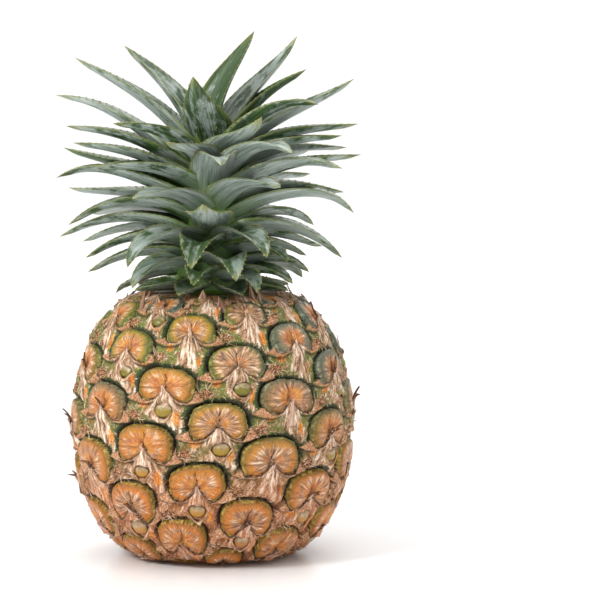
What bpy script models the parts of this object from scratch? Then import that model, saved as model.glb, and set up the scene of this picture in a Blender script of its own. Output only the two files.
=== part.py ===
"""A whole pineapple: the fruit with its raised eyes, the leafy crown and the cut end of the stalk.

Metres, +Z up. The origin is the middle of the flat base, and the side that is seen first faces -Y.
"""

import math
import random

import bmesh
import bpy
from mathutils import Vector

MM = 0.001
GAP = 0.3 * MM

# Body of the fruit: a squarish egg turned about Z
BODY_RADIUS = 57.6 * MM
BELT_HEIGHT = 57.3 * MM
REACH_BELOW = 59.6 * MM
REACH_ABOVE = 57.1 * MM
ROUNDNESS_BELOW = 2.14
ROUNDNESS_ABOVE = 1.85
ROUNDNESS_ACROSS = 3.3
FRUIT_TOP = 112.0 * MM
PROFILE_STEPS = 600

# The eyes follow one spiral, a constant turn from each to the next
TURN_PER_EYE = -0.38271
FIRST_EYE_TURN = 0.0101
FIRST_EYE_ABOVE_BELT = 4.94 * MM
RISE_PER_EYE = 1.882 * MM
RISE_LOST_PER_EYE = 0.0028 * MM
LOWEST_INDEX = -45.0
HIGHEST_INDEX = 42.0

# Steps to an eye's neighbours: 8 along the spiral with 3 whole turns, 13 with 5
STEEP_STEP = 13
STEEP_TURNS = 5
FLAT_STEP = 8
FLAT_TURNS = 3

# Rim of one eye's six-sided cell, in sixths of the two steps: each corner and the middle of each side
SIXTHS = 6
CELL_RIM = (
    (2, 2), (0, 3), (-2, 4), (-3, 3), (-4, 2), (-3, 0), (-2, -2), (0, -3), (2, -4), (3, -3), (4, -2), (3, 0),
)

# Relief of one eye, at the belt: a groove round a flat-topped dome, and the bract whose tip lies on it
EYE_HALF_WIDTH = 13.8 * MM
EYE_HALF_HEIGHT = 8.6 * MM
EYE_CENTRE_RISE = 0.6 * MM
EYE_SQUARENESS = 2.5
GROOVE_HEIGHT = -0.6 * MM
BRACT_FOOT_HEIGHT = 1.0 * MM
SHOULDER_SHARE = 0.78
SHOULDER_HEIGHT = 2.5 * MM
HOLLOW_SHARE = 0.40
HOLLOW_HEIGHT = 1.7 * MM
BRACT_TIP_HEIGHT = 4.2 * MM
BRACT_RIDGE_HEIGHT = 1.9 * MM
BRACT_RIDGE_SHARPNESS = 6
BASE_FADE = 12.0 * MM
TOP_FADE = 14.0 * MM
SHORTEST_RIM_EDGE = 1.8 * MM

# Stalk end and the pit that it fills in the base
STALK_RADIUS = 12.0 * MM
STALK_LENGTH = 5.0 * MM
STALK_SIDES = 24
STALK_EDGE_BEVEL = 0.8 * MM

SHARP_EDGE = math.radians(40.0)

# Crown stem and leaves
STEM_RADIUS = 17.0 * MM
STEM_TIP_RADIUS = 4.0 * MM
STEM_TOP = 171.0 * MM
STEM_SIDES = 12
LEAF_STATIONS = 7
LEAF_ROOT_OUTSET = 2.0 * MM
LEAF_ROOT_PULL = 0.42
LEAF_TIP_PULL = 0.36
LEAF_TOOTH = 0.8 * MM
LEAF_ROOT_WIDTH = 0.62
LEAF_WIDENS_BY = 0.25
LEAF_NARROWING = 2.2
LEAF_POINT = 0.85
LEAF_CHANNEL = 0.55
LEAF_SAG = 3.5 * MM
LEAF_THICKNESS = 2.2 * MM
LEAF_TIP_THICKNESS = 1.3 * MM
LEAF_CLEARANCE = 1.2 * MM
LEAF_SHARP_EDGE = math.radians(35.0)

# Where the photo was taken from, to place what it shows at its depth
VIEW_ACROSS = 37.1 * MM
VIEW_HEIGHT = 108.2 * MM
VIEW_DISTANCE = 1450.0 * MM
VIEW_TILT = math.radians(6.0)

# Leaves that the photo shows. Their tips: mm beside the axis, mm high in the axis's plane, and mm behind it.
# Then mm from the base to the root, degrees of rise at the root and at the tip, and mm of width.
SEEN_LEAVES = (
    (18, 222, 12, 167, 106, 50, 24), (36, 220, 25, 169, 75, 48, 17), (40, 206, 4, 168, 66, 18, 19),
    (60, 202, 10, 166, 50, 26, 19), (45, 191, -20, 166, 60, -25, 18), (21, 186, -34, 163, 78, 40, 21),
    (-8, 203, -25, 167, 88, 70, 24), (-37, 216, 15, 169, 68, 32, 21), (-58, 211, 5, 167, 56, 22, 19),
    (-66, 195, 8, 163, 31, -4, 17), (-62, 182, 0, 161, 38, -5, 16), (-42, 183, -30, 164, 52, -8, 18),
    (-59, 175, -8, 158, 34, -3, 16), (-63, 173, 12, 157, 20, 8, 15), (-19, 175, -45, 159, 72, 5, 20),
    (4, 165, -52, 149, 72, -35, 22), (34, 170, -38, 156, 57, -40, 19), (-50, 165, -18, 155, 42, -12, 19),
    (-66, 160, 0, 151, 22, -38, 16), (-61, 156, 15, 150, 20, -2, 15), (62, 183, 0, 164, 48, -2, 16),
    (55, 178, -10, 162, 46, -5, 15), (57, 173, 12, 161, 42, -12, 15), (63, 170, 0, 156, 30, -3, 16),
    (55, 164, -22, 151, 44, -28, 19), (29, 156, -45, 147, 48, -18, 20), (56, 154, 10, 149, 36, -22, 16),
    (60, 145, -5, 144, 34, -60, 17), (43, 140, 30, 141, 24, -50, 15), (55, 126, -8, 137, 37, -55, 17),
    (47, 131, 8, 136, 28, -30, 16), (-4, 149, -58, 137, 40, 25, 21), (-34, 151, -35, 145, 47, -25, 19),
    (-61, 140, -5, 143, 37, -48, 16), (-65, 135, 5, 136, 33, -38, 16), (-55, 133, 20, 135, 26, -35, 14),
    (-54, 126, 0, 132, 33, -45, 15), (-36, 122, -40, 132, 45, -72, 18), (-53, 120, -5, 127, 27, -42, 15),
    (-41, 109, 5, 121, 25, -65, 15), (-34, 113, -32, 122, 38, -72, 18), (-9, 121, -50, 129, 38, -75, 20),
    (23, 126, -42, 133, 38, -68, 18), (10, 116, -48, 123, 28, -72, 20), (40, 127, 5, 131, 28, -50, 14),
    (32, 124, -25, 129, 28, -65, 15), (41, 120, -5, 124, 24, -60, 15), (34, 115, -20, 121, 22, -60, 15),
    (19, 111, -40, 119, 15, -80, 15), (-8, 114, -42, 120, 15, -70, 16),
)

# Leaves behind, which the photo hides: in the eyes' spiral, lowest first
BACK_LEAF_COUNT = 19
BACK_HALF_SECTOR = math.radians(58.0)
BACK_ROOTS = (119.0 * MM, 166.0 * MM)
BACK_TIPS = (112.0 * MM, 190.0 * MM)
BACK_SPREADS = (44.0 * MM, 62.0 * MM, 20.0 * MM)
WIDEST_BACK_SHARE = 0.45
BACK_ROOT_RISES = (18.0, 74.0)
BACK_TIP_RISES = (-66.0, 42.0)
BACK_WIDTHS = (16.0 * MM, 20.0 * MM)
TIP_SCATTER = 4.0 * MM
RISE_SCATTER = 5.0
TURN_SCATTER = 0.15
CROWN_SEED = 11

# Short leaves all round the crown's foot, lying close over the fruit
FOOT_LEAF_COUNT = 8
FOOT_SPREAD = 35.0 * MM
FOOT_TIP = 110.0 * MM
FOOT_ROOT = 117.5 * MM
FOOT_ROOT_RISE = math.radians(6.0)
FOOT_TIP_RISE = math.radians(-40.0)
FOOT_WIDTH = 18.0 * MM


def clear_scene():
    """Remove whatever the scene holds."""
    for thing in list(bpy.data.objects):
        bpy.data.objects.remove(thing, do_unlink=True)


def material(name, colour, roughness, metallic=0.0):
    """A Principled material of one colour (linear RGB)."""
    made = bpy.data.materials.new(name)
    made.use_nodes = True
    shader = made.node_tree.nodes["Principled BSDF"]
    shader.inputs["Base Color"].default_value = (*colour, 1.0)
    shader.inputs["Roughness"].default_value = roughness
    shader.inputs["Metallic"].default_value = metallic
    made.diffuse_color = (*colour, 1.0)
    return made


def mesh_object(name, bm, finish):
    """Turn a bmesh into a named object in the scene."""
    bmesh.ops.recalc_face_normals(bm, faces=bm.faces)
    mesh = bpy.data.meshes.new(name)
    bm.to_mesh(mesh)
    bm.free()
    made = bpy.data.objects.new(name, mesh)
    bpy.context.scene.collection.objects.link(made)
    mesh.materials.append(finish)
    return made


def between(low, high, share):
    """Value between two ends."""
    return low + (high - low) * share


def body_radius(z):
    """Radius of the plain body at height z."""
    above = z > BELT_HEIGHT
    reach = REACH_ABOVE if above else REACH_BELOW
    roundness = ROUNDNESS_ABOVE if above else ROUNDNESS_BELOW
    share = min(abs(z - BELT_HEIGHT) / reach, 1.0)
    return BODY_RADIUS * (1.0 - share ** roundness) ** (1.0 / ROUNDNESS_ACROSS)


def body_top(radius):
    """Height that clears the fruit's upper side and its bract tips, at a distance from the axis."""
    share = min(radius / (BODY_RADIUS + BRACT_TIP_HEIGHT), 1.0)
    reach = REACH_ABOVE + BRACT_TIP_HEIGHT
    rise = reach * (1.0 - share ** ROUNDNESS_ACROSS) ** (1.0 / ROUNDNESS_ABOVE)
    return min(BELT_HEIGHT + rise, FRUIT_TOP)


def profile_half(direction):
    """Points of the profile from the belt to one pole: (distance along it, radius, height)."""
    reach = REACH_ABOVE if direction > 0 else REACH_BELOW
    points = [(0.0, BODY_RADIUS, BELT_HEIGHT)]
    for step in range(1, PROFILE_STEPS + 1):
        z = BELT_HEIGHT + direction * reach * math.sin(0.5 * math.pi * step / PROFILE_STEPS)
        radius = body_radius(z)
        run = math.hypot(radius - points[-1][1], z - points[-1][2])
        points.append((points[-1][0] + run, radius, z))
    return points


UPPER_PROFILE = profile_half(1)
LOWER_PROFILE = profile_half(-1)


def on_profile(distance):
    """Radius and height at a distance along the profile, measured from the belt, up positive."""
    points = UPPER_PROFILE if distance > 0 else LOWER_PROFILE
    wanted = abs(distance)
    low = 0
    high = len(points) - 1
    while high - low > 1:
        middle = (low + high) // 2
        if points[middle][0] > wanted:
            high = middle
        else:
            low = middle
    share = (wanted - points[low][0]) / (points[high][0] - points[low][0])
    radius = points[low][1] + share * (points[high][1] - points[low][1])
    height = points[low][2] + share * (points[high][2] - points[low][2])
    return radius, height


def distance_at(height):
    """Distance from the belt at which the profile passes a height, up positive."""
    direction = 1.0 if height > BELT_HEIGHT else -1.0
    points = UPPER_PROFILE if height > BELT_HEIGHT else LOWER_PROFILE
    reached = [point[0] for point in points if direction * (point[2] - height) <= 0.0]
    return direction * reached[-1]


BASE_DISTANCE = distance_at(0.0)
TOP_DISTANCE = distance_at(FRUIT_TOP)


def along_body(index):
    """Distance from the belt of a place on the eye spiral."""
    return FIRST_EYE_ABOVE_BELT + RISE_PER_EYE * index - RISE_LOST_PER_EYE * index * index


def skin_point(index, turns, relief):
    """Place on the fruit's skin: how far along the spiral, its turn round the axis, and its relief."""
    distance = along_body(index)
    radius, height = on_profile(distance)
    above_base = (distance - BASE_DISTANCE) / BASE_FADE
    below_top = (TOP_DISTANCE - distance) / TOP_FADE
    relief *= max(0.0, min(1.0, above_base, below_top))
    lean = max(-1.0, min(1.0, (height - BELT_HEIGHT) / REACH_ABOVE))
    reach = radius + relief * math.sqrt(1.0 - lean * lean)
    angle = 2.0 * math.pi * (FIRST_EYE_TURN + turns)
    return Vector((reach * math.sin(angle), -reach * math.cos(angle), height + relief * lean))


def lattice_place(flat, steep):
    """Index and turn of a place given in steps of 8 and of 13."""
    index = FLAT_STEP * flat + STEEP_STEP * steep
    turns = flat * (FLAT_STEP * TURN_PER_EYE + FLAT_TURNS)
    turns += steep * (STEEP_STEP * TURN_PER_EYE + STEEP_TURNS)
    return index, turns


def downwards(angle):
    """How near a direction on the eye is to straight down, where its bract's ridge runs."""
    return max(0.0, -math.sin(angle)) ** BRACT_RIDGE_SHARPNESS


def ring_point(cell, angle, share, height):
    """Point of a ring inside an eye's outline, at a direction from its centre."""
    wide = abs(math.cos(angle) / EYE_HALF_WIDTH) ** EYE_SQUARENESS
    tall = abs(math.sin(angle) / EYE_HALF_HEIGHT) ** EYE_SQUARENESS
    reach = share * (wide + tall) ** (-1.0 / EYE_SQUARENESS)
    across = reach * math.cos(angle)
    up = reach * math.sin(angle) + EYE_CENTRE_RISE
    index, turns = lattice_place(*cell)
    return skin_point(index + up / RISE_PER_EYE, turns + across / (2.0 * math.pi * BODY_RADIUS), height)


def rim_corner(bm, corners, cell, rim_step):
    """Corner shared by the cells that meet there, made once."""
    flat = SIXTHS * cell[0] + rim_step[0]
    steep = SIXTHS * cell[1] + rim_step[1]
    rounds = flat // (SIXTHS * STEEP_STEP)
    key = (flat - rounds * SIXTHS * STEEP_STEP, steep + rounds * SIXTHS * FLAT_STEP)
    if key not in corners:
        index, turns = lattice_place(flat / SIXTHS, steep / SIXTHS)
        corners[key] = bm.verts.new(skin_point(index, turns, 0.0))
    return corners[key]


def add_ring_faces(bm, outer, inner):
    """Triangles between a ring and the next one in, which has as many points or half as many."""
    count = len(outer)
    stride = count // len(inner)
    for place in range(count):
        following = (place + 1) % count
        near = inner[place // stride]
        far = inner[(following // stride) % len(inner)]
        bm.faces.new((outer[place], outer[following], near))
        if near is not far:
            bm.faces.new((outer[following], far, near))


def add_eye(bm, corners, cell):
    """One eye: cell rim, groove, dome shoulder, hollow and the bract's tip in the middle."""
    rim = [rim_corner(bm, corners, cell, step) for step in CELL_RIM]
    angles = []
    for step in CELL_RIM:
        index, turns = lattice_place(step[0] / SIXTHS, step[1] / SIXTHS)
        angles.append(math.atan2(index * RISE_PER_EYE, turns * 2.0 * math.pi * BODY_RADIUS))
    foot = []
    shoulder = []
    for angle in angles:
        ridge = downwards(angle)
        foot_height = between(GROOVE_HEIGHT, BRACT_FOOT_HEIGHT, ridge)
        foot.append(bm.verts.new(ring_point(cell, angle, 1.0, foot_height)))
        shoulder_height = SHOULDER_HEIGHT + BRACT_RIDGE_HEIGHT * 0.5 * ridge
        shoulder.append(bm.verts.new(ring_point(cell, angle, SHOULDER_SHARE, shoulder_height)))
    hollow = []
    for angle in angles[::2]:
        hollow_height = HOLLOW_HEIGHT + BRACT_RIDGE_HEIGHT * downwards(angle)
        hollow.append(bm.verts.new(ring_point(cell, angle, HOLLOW_SHARE, hollow_height)))
    tip = bm.verts.new(ring_point(cell, 0.0, 0.0, BRACT_TIP_HEIGHT))
    add_ring_faces(bm, rim, foot)
    add_ring_faces(bm, foot, shoulder)
    add_ring_faces(bm, shoulder, hollow)
    for place, corner in enumerate(hollow):
        bm.faces.new((corner, hollow[(place + 1) % len(hollow)], tip))


def fruit_skin():
    """The skin: one six-sided cell for each eye, in the crossing spirals of 5, 8 and 13."""
    bm = bmesh.new()
    corners = {}
    for flat in range(STEEP_STEP):
        lowest = math.ceil((LOWEST_INDEX - FLAT_STEP * flat) / STEEP_STEP)
        highest = math.floor((HIGHEST_INDEX - FLAT_STEP * flat) / STEEP_STEP)
        for steep in range(lowest, highest + 1):
            add_eye(bm, corners, (flat, steep))
    return bm


def cut_level(bm, height, keep_above):
    """Cut the skin at a height, drop one side and return the edges of the opening."""
    everything = bm.verts[:] + bm.edges[:] + bm.faces[:]
    bmesh.ops.bisect_plane(
        bm, geom=everything, dist=0.05 * MM, plane_co=(0.0, 0.0, height), plane_no=(0.0, 0.0, 1.0),
        clear_inner=keep_above, clear_outer=not keep_above,
    )
    on_cut = [vert for vert in bm.verts if vert.is_boundary and abs(vert.co.z - height) < 0.1 * MM]
    bmesh.ops.remove_doubles(bm, verts=on_cut, dist=SHORTEST_RIM_EDGE)
    return [edge for edge in bm.edges if edge.is_boundary and abs(edge.verts[0].co.z - height) < 0.1 * MM]


def extrude_rim(bm, rim, place):
    """Extrude an open rim and move its new corners with a function."""
    new = bmesh.ops.extrude_edge_only(bm, edges=rim)["geom"]
    for vert in new:
        if isinstance(vert, bmesh.types.BMVert):
            vert.co = place(vert.co)
    return [edge for edge in new if isinstance(edge, bmesh.types.BMEdge)]


def make_fruit(finish):
    """The fruit: relief skin, level top under the crown, flat base with a pit for the stalk."""
    bm = fruit_skin()
    top_rim = cut_level(bm, FRUIT_TOP, keep_above=False)
    bmesh.ops.edgeloop_fill(bm, edges=top_rim)
    base_rim = cut_level(bm, 0.0, keep_above=True)
    pit_radius = STALK_RADIUS + GAP

    def to_pit_edge(place):
        flat = Vector((place.x, place.y, 0.0)).normalized()
        return flat * pit_radius

    pit_rim = extrude_rim(bm, base_rim, to_pit_edge)
    pit_top = extrude_rim(bm, pit_rim, lambda place: Vector((place.x, place.y, STALK_LENGTH + GAP)))
    bmesh.ops.edgeloop_fill(bm, edges=pit_top)
    bmesh.ops.triangulate(bm, faces=[face for face in bm.faces if len(face.verts) > 3])
    fruit = mesh_object("fruit", bm, finish)
    fruit.data.shade_smooth()
    fruit.data.set_sharp_from_angle(angle=SHARP_EDGE)
    return fruit


def make_stalk(finish):
    """The cut stalk end, level with the base."""
    bm = bmesh.new()
    bmesh.ops.create_cone(
        bm, cap_ends=True, segments=STALK_SIDES, radius1=STALK_RADIUS, radius2=STALK_RADIUS,
        depth=STALK_LENGTH,
    )
    bmesh.ops.translate(bm, verts=bm.verts, vec=(0.0, 0.0, 0.5 * STALK_LENGTH))
    rims = [edge for edge in bm.edges if abs(edge.verts[0].co.z - edge.verts[1].co.z) < GAP]
    bmesh.ops.bevel(
        bm, geom=rims, offset=STALK_EDGE_BEVEL, segments=1, profile=0.5, affect="EDGES", material=-1,
    )
    stalk = mesh_object("stalk_stub", bm, finish)
    stalk.data.shade_smooth()
    stalk.data.set_sharp_from_angle(angle=SHARP_EDGE)
    return stalk


def on_sight_line(across, height, depth):
    """Point at a depth behind the axis, seen where the photo shows it in the axis's plane."""
    eye = Vector((
        VIEW_ACROSS, -VIEW_DISTANCE * math.cos(VIEW_TILT), VIEW_HEIGHT + VIEW_DISTANCE * math.sin(VIEW_TILT),
    ))
    in_plane = Vector((across, 0.0, height))
    return eye + (in_plane - eye) * ((depth - eye.y) / (in_plane.y - eye.y))


def seen_leaves():
    """Leaves that the photo shows."""
    leaves = []
    for across, height, depth, root_height, root_rise, tip_rise, width in SEEN_LEAVES:
        leaves.append({
            "tip": on_sight_line(across * MM, height * MM, depth * MM),
            "root_height": root_height * MM,
            "root_rise": math.radians(root_rise),
            "tip_rise": math.radians(tip_rise),
            "width": width * MM,
        })
    return leaves


def back_leaves():
    """Leaves behind: tips that climb, wide apart in the middle tiers and close at the top."""
    chance = random.Random(CROWN_SEED)
    leaves = []
    for number in range(BACK_LEAF_COUNT):
        share = number / (BACK_LEAF_COUNT - 1)
        turn = (number * TURN_PER_EYE) % 1.0
        angle = math.pi + BACK_HALF_SECTOR * (2.0 * turn - 1.0 + chance.uniform(-TURN_SCATTER, TURN_SCATTER))
        if share < WIDEST_BACK_SHARE:
            spread = between(BACK_SPREADS[0], BACK_SPREADS[1], share / WIDEST_BACK_SHARE)
        else:
            fall = (share - WIDEST_BACK_SHARE) / (1.0 - WIDEST_BACK_SHARE)
            spread = between(BACK_SPREADS[1], BACK_SPREADS[2], fall * fall)
        spread += chance.uniform(-TIP_SCATTER, TIP_SCATTER)
        tip_height = between(*BACK_TIPS, share) + chance.uniform(-TIP_SCATTER, TIP_SCATTER)
        root_rise = between(*BACK_ROOT_RISES, share) + chance.uniform(-RISE_SCATTER, RISE_SCATTER)
        tip_rise = between(*BACK_TIP_RISES, share) + chance.uniform(-RISE_SCATTER, RISE_SCATTER)
        leaves.append({
            "tip": Vector((spread * math.sin(angle), -spread * math.cos(angle), tip_height)),
            "root_height": between(*BACK_ROOTS, share),
            "root_rise": math.radians(root_rise),
            "tip_rise": math.radians(tip_rise),
            "width": chance.uniform(*BACK_WIDTHS),
        })
    return leaves


def foot_leaves():
    """Short leaves all round the crown's foot."""
    leaves = []
    for number in range(FOOT_LEAF_COUNT):
        angle = 2.0 * math.pi * (number + 0.5) / FOOT_LEAF_COUNT
        leaves.append({
            "tip": Vector((FOOT_SPREAD * math.sin(angle), -FOOT_SPREAD * math.cos(angle), FOOT_TIP)),
            "root_height": FOOT_ROOT,
            "root_rise": FOOT_ROOT_RISE,
            "tip_rise": FOOT_TIP_RISE,
            "width": FOOT_WIDTH,
        })
    return leaves


def heading(outward, rise):
    """Direction that leaves the axis outward at an angle of rise."""
    return outward * math.cos(rise) + Vector((0.0, 0.0, math.sin(rise)))


def leaf_path(leaf):
    """Points along a leaf's middle, from inside the stem to the tip: it hangs under the line of its edges."""
    tip = leaf["tip"]
    sag = Vector((0.0, 0.0, LEAF_SAG))
    outward = Vector((tip.x, tip.y, 0.0)).normalized()
    root = Vector((0.0, 0.0, leaf["root_height"])) + outward * LEAF_ROOT_OUTSET - sag
    length = (tip - root).length
    root_pull = root + heading(outward, leaf["root_rise"]) * (LEAF_ROOT_PULL * length)
    tip_pull = tip - heading(outward, leaf["tip_rise"]) * (LEAF_TIP_PULL * length) - sag
    points = []
    for station in range(LEAF_STATIONS + 1):
        t = station / LEAF_STATIONS
        s = 1.0 - t
        point = root * s ** 3 + root_pull * (3.0 * s * s * t) + tip_pull * (3.0 * s * t * t) + tip * t ** 3
        point.z += height_short_of_clear(point)
        points.append(point)
    return points


def height_short_of_clear(point):
    """How far a point has to rise to clear the fruit below it."""
    return max(0.0, body_top(math.hypot(point.x, point.y)) + LEAF_CLEARANCE - point.z)


def leaf_bmesh(leaf):
    """One leaf: a channelled blade, thick along its middle and sharp at its toothed edges."""
    points = leaf_path(leaf)
    bm = bmesh.new()
    rings = []
    for station in range(LEAF_STATIONS):
        t = station / LEAF_STATIONS
        before = points[max(station - 1, 0)]
        after = points[station + 1]
        along = (after - before).normalized()
        outward = Vector((points[station].x, points[station].y, 0.0)).normalized()
        aside = Vector((-outward.y, outward.x, 0.0))
        aside = (aside - along * aside.dot(along)).normalized()
        face = along.cross(aside)
        root_share = min(1.0, LEAF_ROOT_WIDTH + t / LEAF_WIDENS_BY * (1.0 - LEAF_ROOT_WIDTH))
        half = 0.5 * leaf["width"] * root_share * (1.0 - t ** LEAF_NARROWING) ** LEAF_POINT
        if station % 2:
            half += LEAF_TOOTH * (1.0 - t)
        channel = half * LEAF_CHANNEL * (1.0 - 0.5 * t)
        thick = between(LEAF_THICKNESS, LEAF_TIP_THICKNESS, t)
        middle = points[station]
        corners = (
            middle - aside * half + face * channel,
            middle,
            middle + aside * half + face * channel,
            middle - face * thick,
        )
        lift = Vector((0.0, 0.0, max(height_short_of_clear(corner) for corner in corners)))
        rings.append([bm.verts.new(corner + lift) for corner in corners])
    end = bm.verts.new(points[-1])
    for lower, upper in zip(rings, rings[1:]):
        for corner in range(4):
            following = (corner + 1) % 4
            outer = corner if corner in (0, 3) else following
            inner = following if outer == corner else corner
            bm.faces.new((lower[outer], lower[inner], upper[inner]))
            bm.faces.new((lower[outer], upper[inner], upper[outer]))
    for corner in range(4):
        bm.faces.new((rings[-1][corner], rings[-1][(corner + 1) % 4], end))
    bm.faces.new(rings[0])
    return bm


def crown_stem(finish):
    """The tapered stem that carries the leaves."""
    depth = STEM_TOP - FRUIT_TOP - GAP
    bm = bmesh.new()
    bmesh.ops.create_cone(
        bm, cap_ends=True, segments=STEM_SIDES, radius1=STEM_RADIUS, radius2=STEM_TIP_RADIUS, depth=depth,
    )
    bmesh.ops.translate(bm, verts=bm.verts, vec=(0.0, 0.0, FRUIT_TOP + GAP + 0.5 * depth))
    return mesh_object("crown", bm, finish)


def largest_body(mesh):
    """Keep only the body with the most corners: scraps and sealed hollows go."""
    bm = bmesh.new()
    bm.from_mesh(mesh)
    unseen = set(bm.verts)
    bodies = []
    while unseen:
        body = set()
        edge_of_search = [unseen.pop()]
        while edge_of_search:
            vert = edge_of_search.pop()
            body.add(vert)
            for edge in vert.link_edges:
                other = edge.other_vert(vert)
                if other in unseen:
                    unseen.remove(other)
                    edge_of_search.append(other)
        bodies.append(body)
    keep = max(bodies, key=len)
    loose = [vert for body in bodies if body is not keep for vert in body]
    bmesh.ops.delete(bm, geom=loose, context="VERTS")
    bm.to_mesh(mesh)
    bm.free()


def fuse(base, repeats):
    """Join a collection's objects to a base in one union, apply it and remove them."""
    union = base.modifiers.new("union", "BOOLEAN")
    union.operation = "UNION"
    union.operand_type = "COLLECTION"
    union.collection = repeats
    union.solver = "EXACT"
    bpy.context.view_layer.update()
    joined = bpy.data.meshes.new_from_object(base.evaluated_get(bpy.context.evaluated_depsgraph_get()))
    joined.name = base.name
    base.modifiers.clear()
    base.data = joined
    for thing in list(repeats.objects):
        bpy.data.objects.remove(thing, do_unlink=True)
    bpy.data.collections.remove(repeats)
    largest_body(base.data)


def make_crown(finish):
    """The crown: a stem and its leaves, fused."""
    crown = crown_stem(finish)
    repeats = bpy.data.collections.new("crown_leaves")
    bpy.context.scene.collection.children.link(repeats)
    for number, leaf in enumerate(seen_leaves() + back_leaves() + foot_leaves()):
        blade = mesh_object(f"leaf_{number}", leaf_bmesh(leaf), finish)
        bpy.context.scene.collection.objects.unlink(blade)
        repeats.objects.link(blade)
    fuse(crown, repeats)
    crown.data.shade_smooth()
    crown.data.set_sharp_from_angle(angle=LEAF_SHARP_EDGE)
    return crown


def main():
    """Build the pineapple."""
    clear_scene()
    make_fruit(material("fruit_rind", (0.36, 0.17, 0.04), 0.42))
    make_stalk(material("cut_stalk", (0.55, 0.42, 0.22), 0.8))
    make_crown(material("crown_leaf", (0.16, 0.24, 0.13), 0.5))


main()
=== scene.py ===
"""The looks of a whole pineapple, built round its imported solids.

The rind is one fine relief of eyes and bracts. On it lie papery bract tips, small oval buds with dry scales
under them, frayed fibres, a few withered flowers, and pointed scales at the crown's foot. The crown is made
again leaf by leaf, with its toothed edges.
"""

import logging
import math
import random
from collections.abc import Callable
from dataclasses import dataclass, field
from enum import Enum
from functools import partial

import bmesh
import bpy
import numpy as np
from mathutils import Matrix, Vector, noise


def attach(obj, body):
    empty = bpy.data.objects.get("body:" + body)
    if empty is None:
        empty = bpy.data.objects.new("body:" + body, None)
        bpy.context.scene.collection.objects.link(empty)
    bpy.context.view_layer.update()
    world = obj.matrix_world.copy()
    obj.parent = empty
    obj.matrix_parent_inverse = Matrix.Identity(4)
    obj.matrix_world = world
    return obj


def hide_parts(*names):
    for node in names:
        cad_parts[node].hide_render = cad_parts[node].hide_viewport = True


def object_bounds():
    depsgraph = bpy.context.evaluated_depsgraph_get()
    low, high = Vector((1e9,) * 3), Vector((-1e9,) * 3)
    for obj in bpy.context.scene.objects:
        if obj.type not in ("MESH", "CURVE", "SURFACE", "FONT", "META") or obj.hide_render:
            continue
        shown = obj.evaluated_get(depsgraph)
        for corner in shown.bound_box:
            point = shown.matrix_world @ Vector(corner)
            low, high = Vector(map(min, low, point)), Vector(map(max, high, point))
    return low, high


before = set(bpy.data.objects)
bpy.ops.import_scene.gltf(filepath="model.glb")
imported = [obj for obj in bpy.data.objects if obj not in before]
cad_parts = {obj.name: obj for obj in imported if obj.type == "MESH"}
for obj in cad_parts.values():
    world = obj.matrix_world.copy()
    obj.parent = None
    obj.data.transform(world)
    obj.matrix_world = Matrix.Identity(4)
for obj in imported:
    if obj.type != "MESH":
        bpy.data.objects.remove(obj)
CAD_BOX = [list(corner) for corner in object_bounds()]

LOG = logging.getLogger("pineapple")
MM = 0.001
FULL_TURN = 2.0 * math.pi
WELD = 0.002 * MM

# What the input of a shader node takes
Source = bpy.types.Node | bpy.types.NodeSocket | float | str | tuple


class Slot(Enum):
    """Names of the record's material slots for the rind and for the crown's leaves."""

    RIND = "fruit_rind"
    LEAF = "crown_leaf"


class Draw(Enum):
    """What a fixed random number is drawn for. Two with one seed go together."""

    ORANGE_RIGHT = 1
    ORANGE_LEFT = 2
    FIBRE_TONE = 2
    ORANGE_SIDE = 3
    RIPENESS = 4
    GREYNESS = 5
    TIP_LENGTH = 5
    TIP_HEIGHT = 6
    TIP_BEND = 7
    TIP_LIFT = 8
    HAS_BUD = 11
    BUD_SIZE = 12
    BUD_ACROSS = 13
    BUD_UP = 14
    BUD_RIPENESS = 15
    SCALE_TILT = 16
    SCALE_REACH = 17
    PEAK_SHIFT = 21
    PEAK_WIDTH = 22
    PEAK_DROP = 23
    DOME_TURN = 24
    DOME_WIDTH = 25
    DOME_HEIGHT = 26
    CRACK_LEAN = 27
    CRACK_REACH = 28
    SIDE_CRACK_REACH = 29
    BLOOM = 31
    GLOW = 32
    HAS_FLOWER = 33
    FLOWER_HEADING = 34
    FLOWER_CURL = 35
    FLOWER_LENGTH = 36
    FLOWER_WIDTH = 37
    FLOWER_LIFT = 38
    PAPER_WIDTH = 41
    PAPER_STRENGTH = 42


def linear(hex_colour: str) -> tuple[float, float, float, float]:
    """Turn an sRGB hex colour into linear RGBA.

    Args:
        hex_colour: Six hex digits with a leading hash.

    Returns:
        Linear red, green, blue and an alpha of one.
    """
    channels = []
    for start in (1, 3, 5):
        value = int(hex_colour[start:start + 2], 16) / 255.0
        channels.append(value / 12.92 if value <= 0.04045 else ((value + 0.055) / 1.055) ** 2.4)
    return (*channels, 1.0)


def between(low: float, high: float, share: float) -> float:
    """Value between two ends."""
    return low + (high - low) * share


def smooth(low: float, high: float, value: np.ndarray) -> np.ndarray:
    """Rise smoothly from 0 at low to 1 at high."""
    share = np.clip((value - low) / (high - low), 0.0, 1.0)
    return share * share * (3.0 - 2.0 * share)


def bell(value: np.ndarray, width: float) -> np.ndarray:
    """One at zero, falling away over a width."""
    return np.exp(-(value / width) ** 2)


def chance(number: np.ndarray, draw: Draw) -> np.ndarray:
    """A fixed random number from 0 to 1 for each eye or copy.

    Args:
        number: Number of the eye or the copy, as floats.
        draw: What it is drawn for.

    Returns:
        One number for each.
    """
    return np.modf(np.abs(np.sin(number * 12.9898 + draw.value * 78.233)) * 43758.5453)[0]


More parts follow.
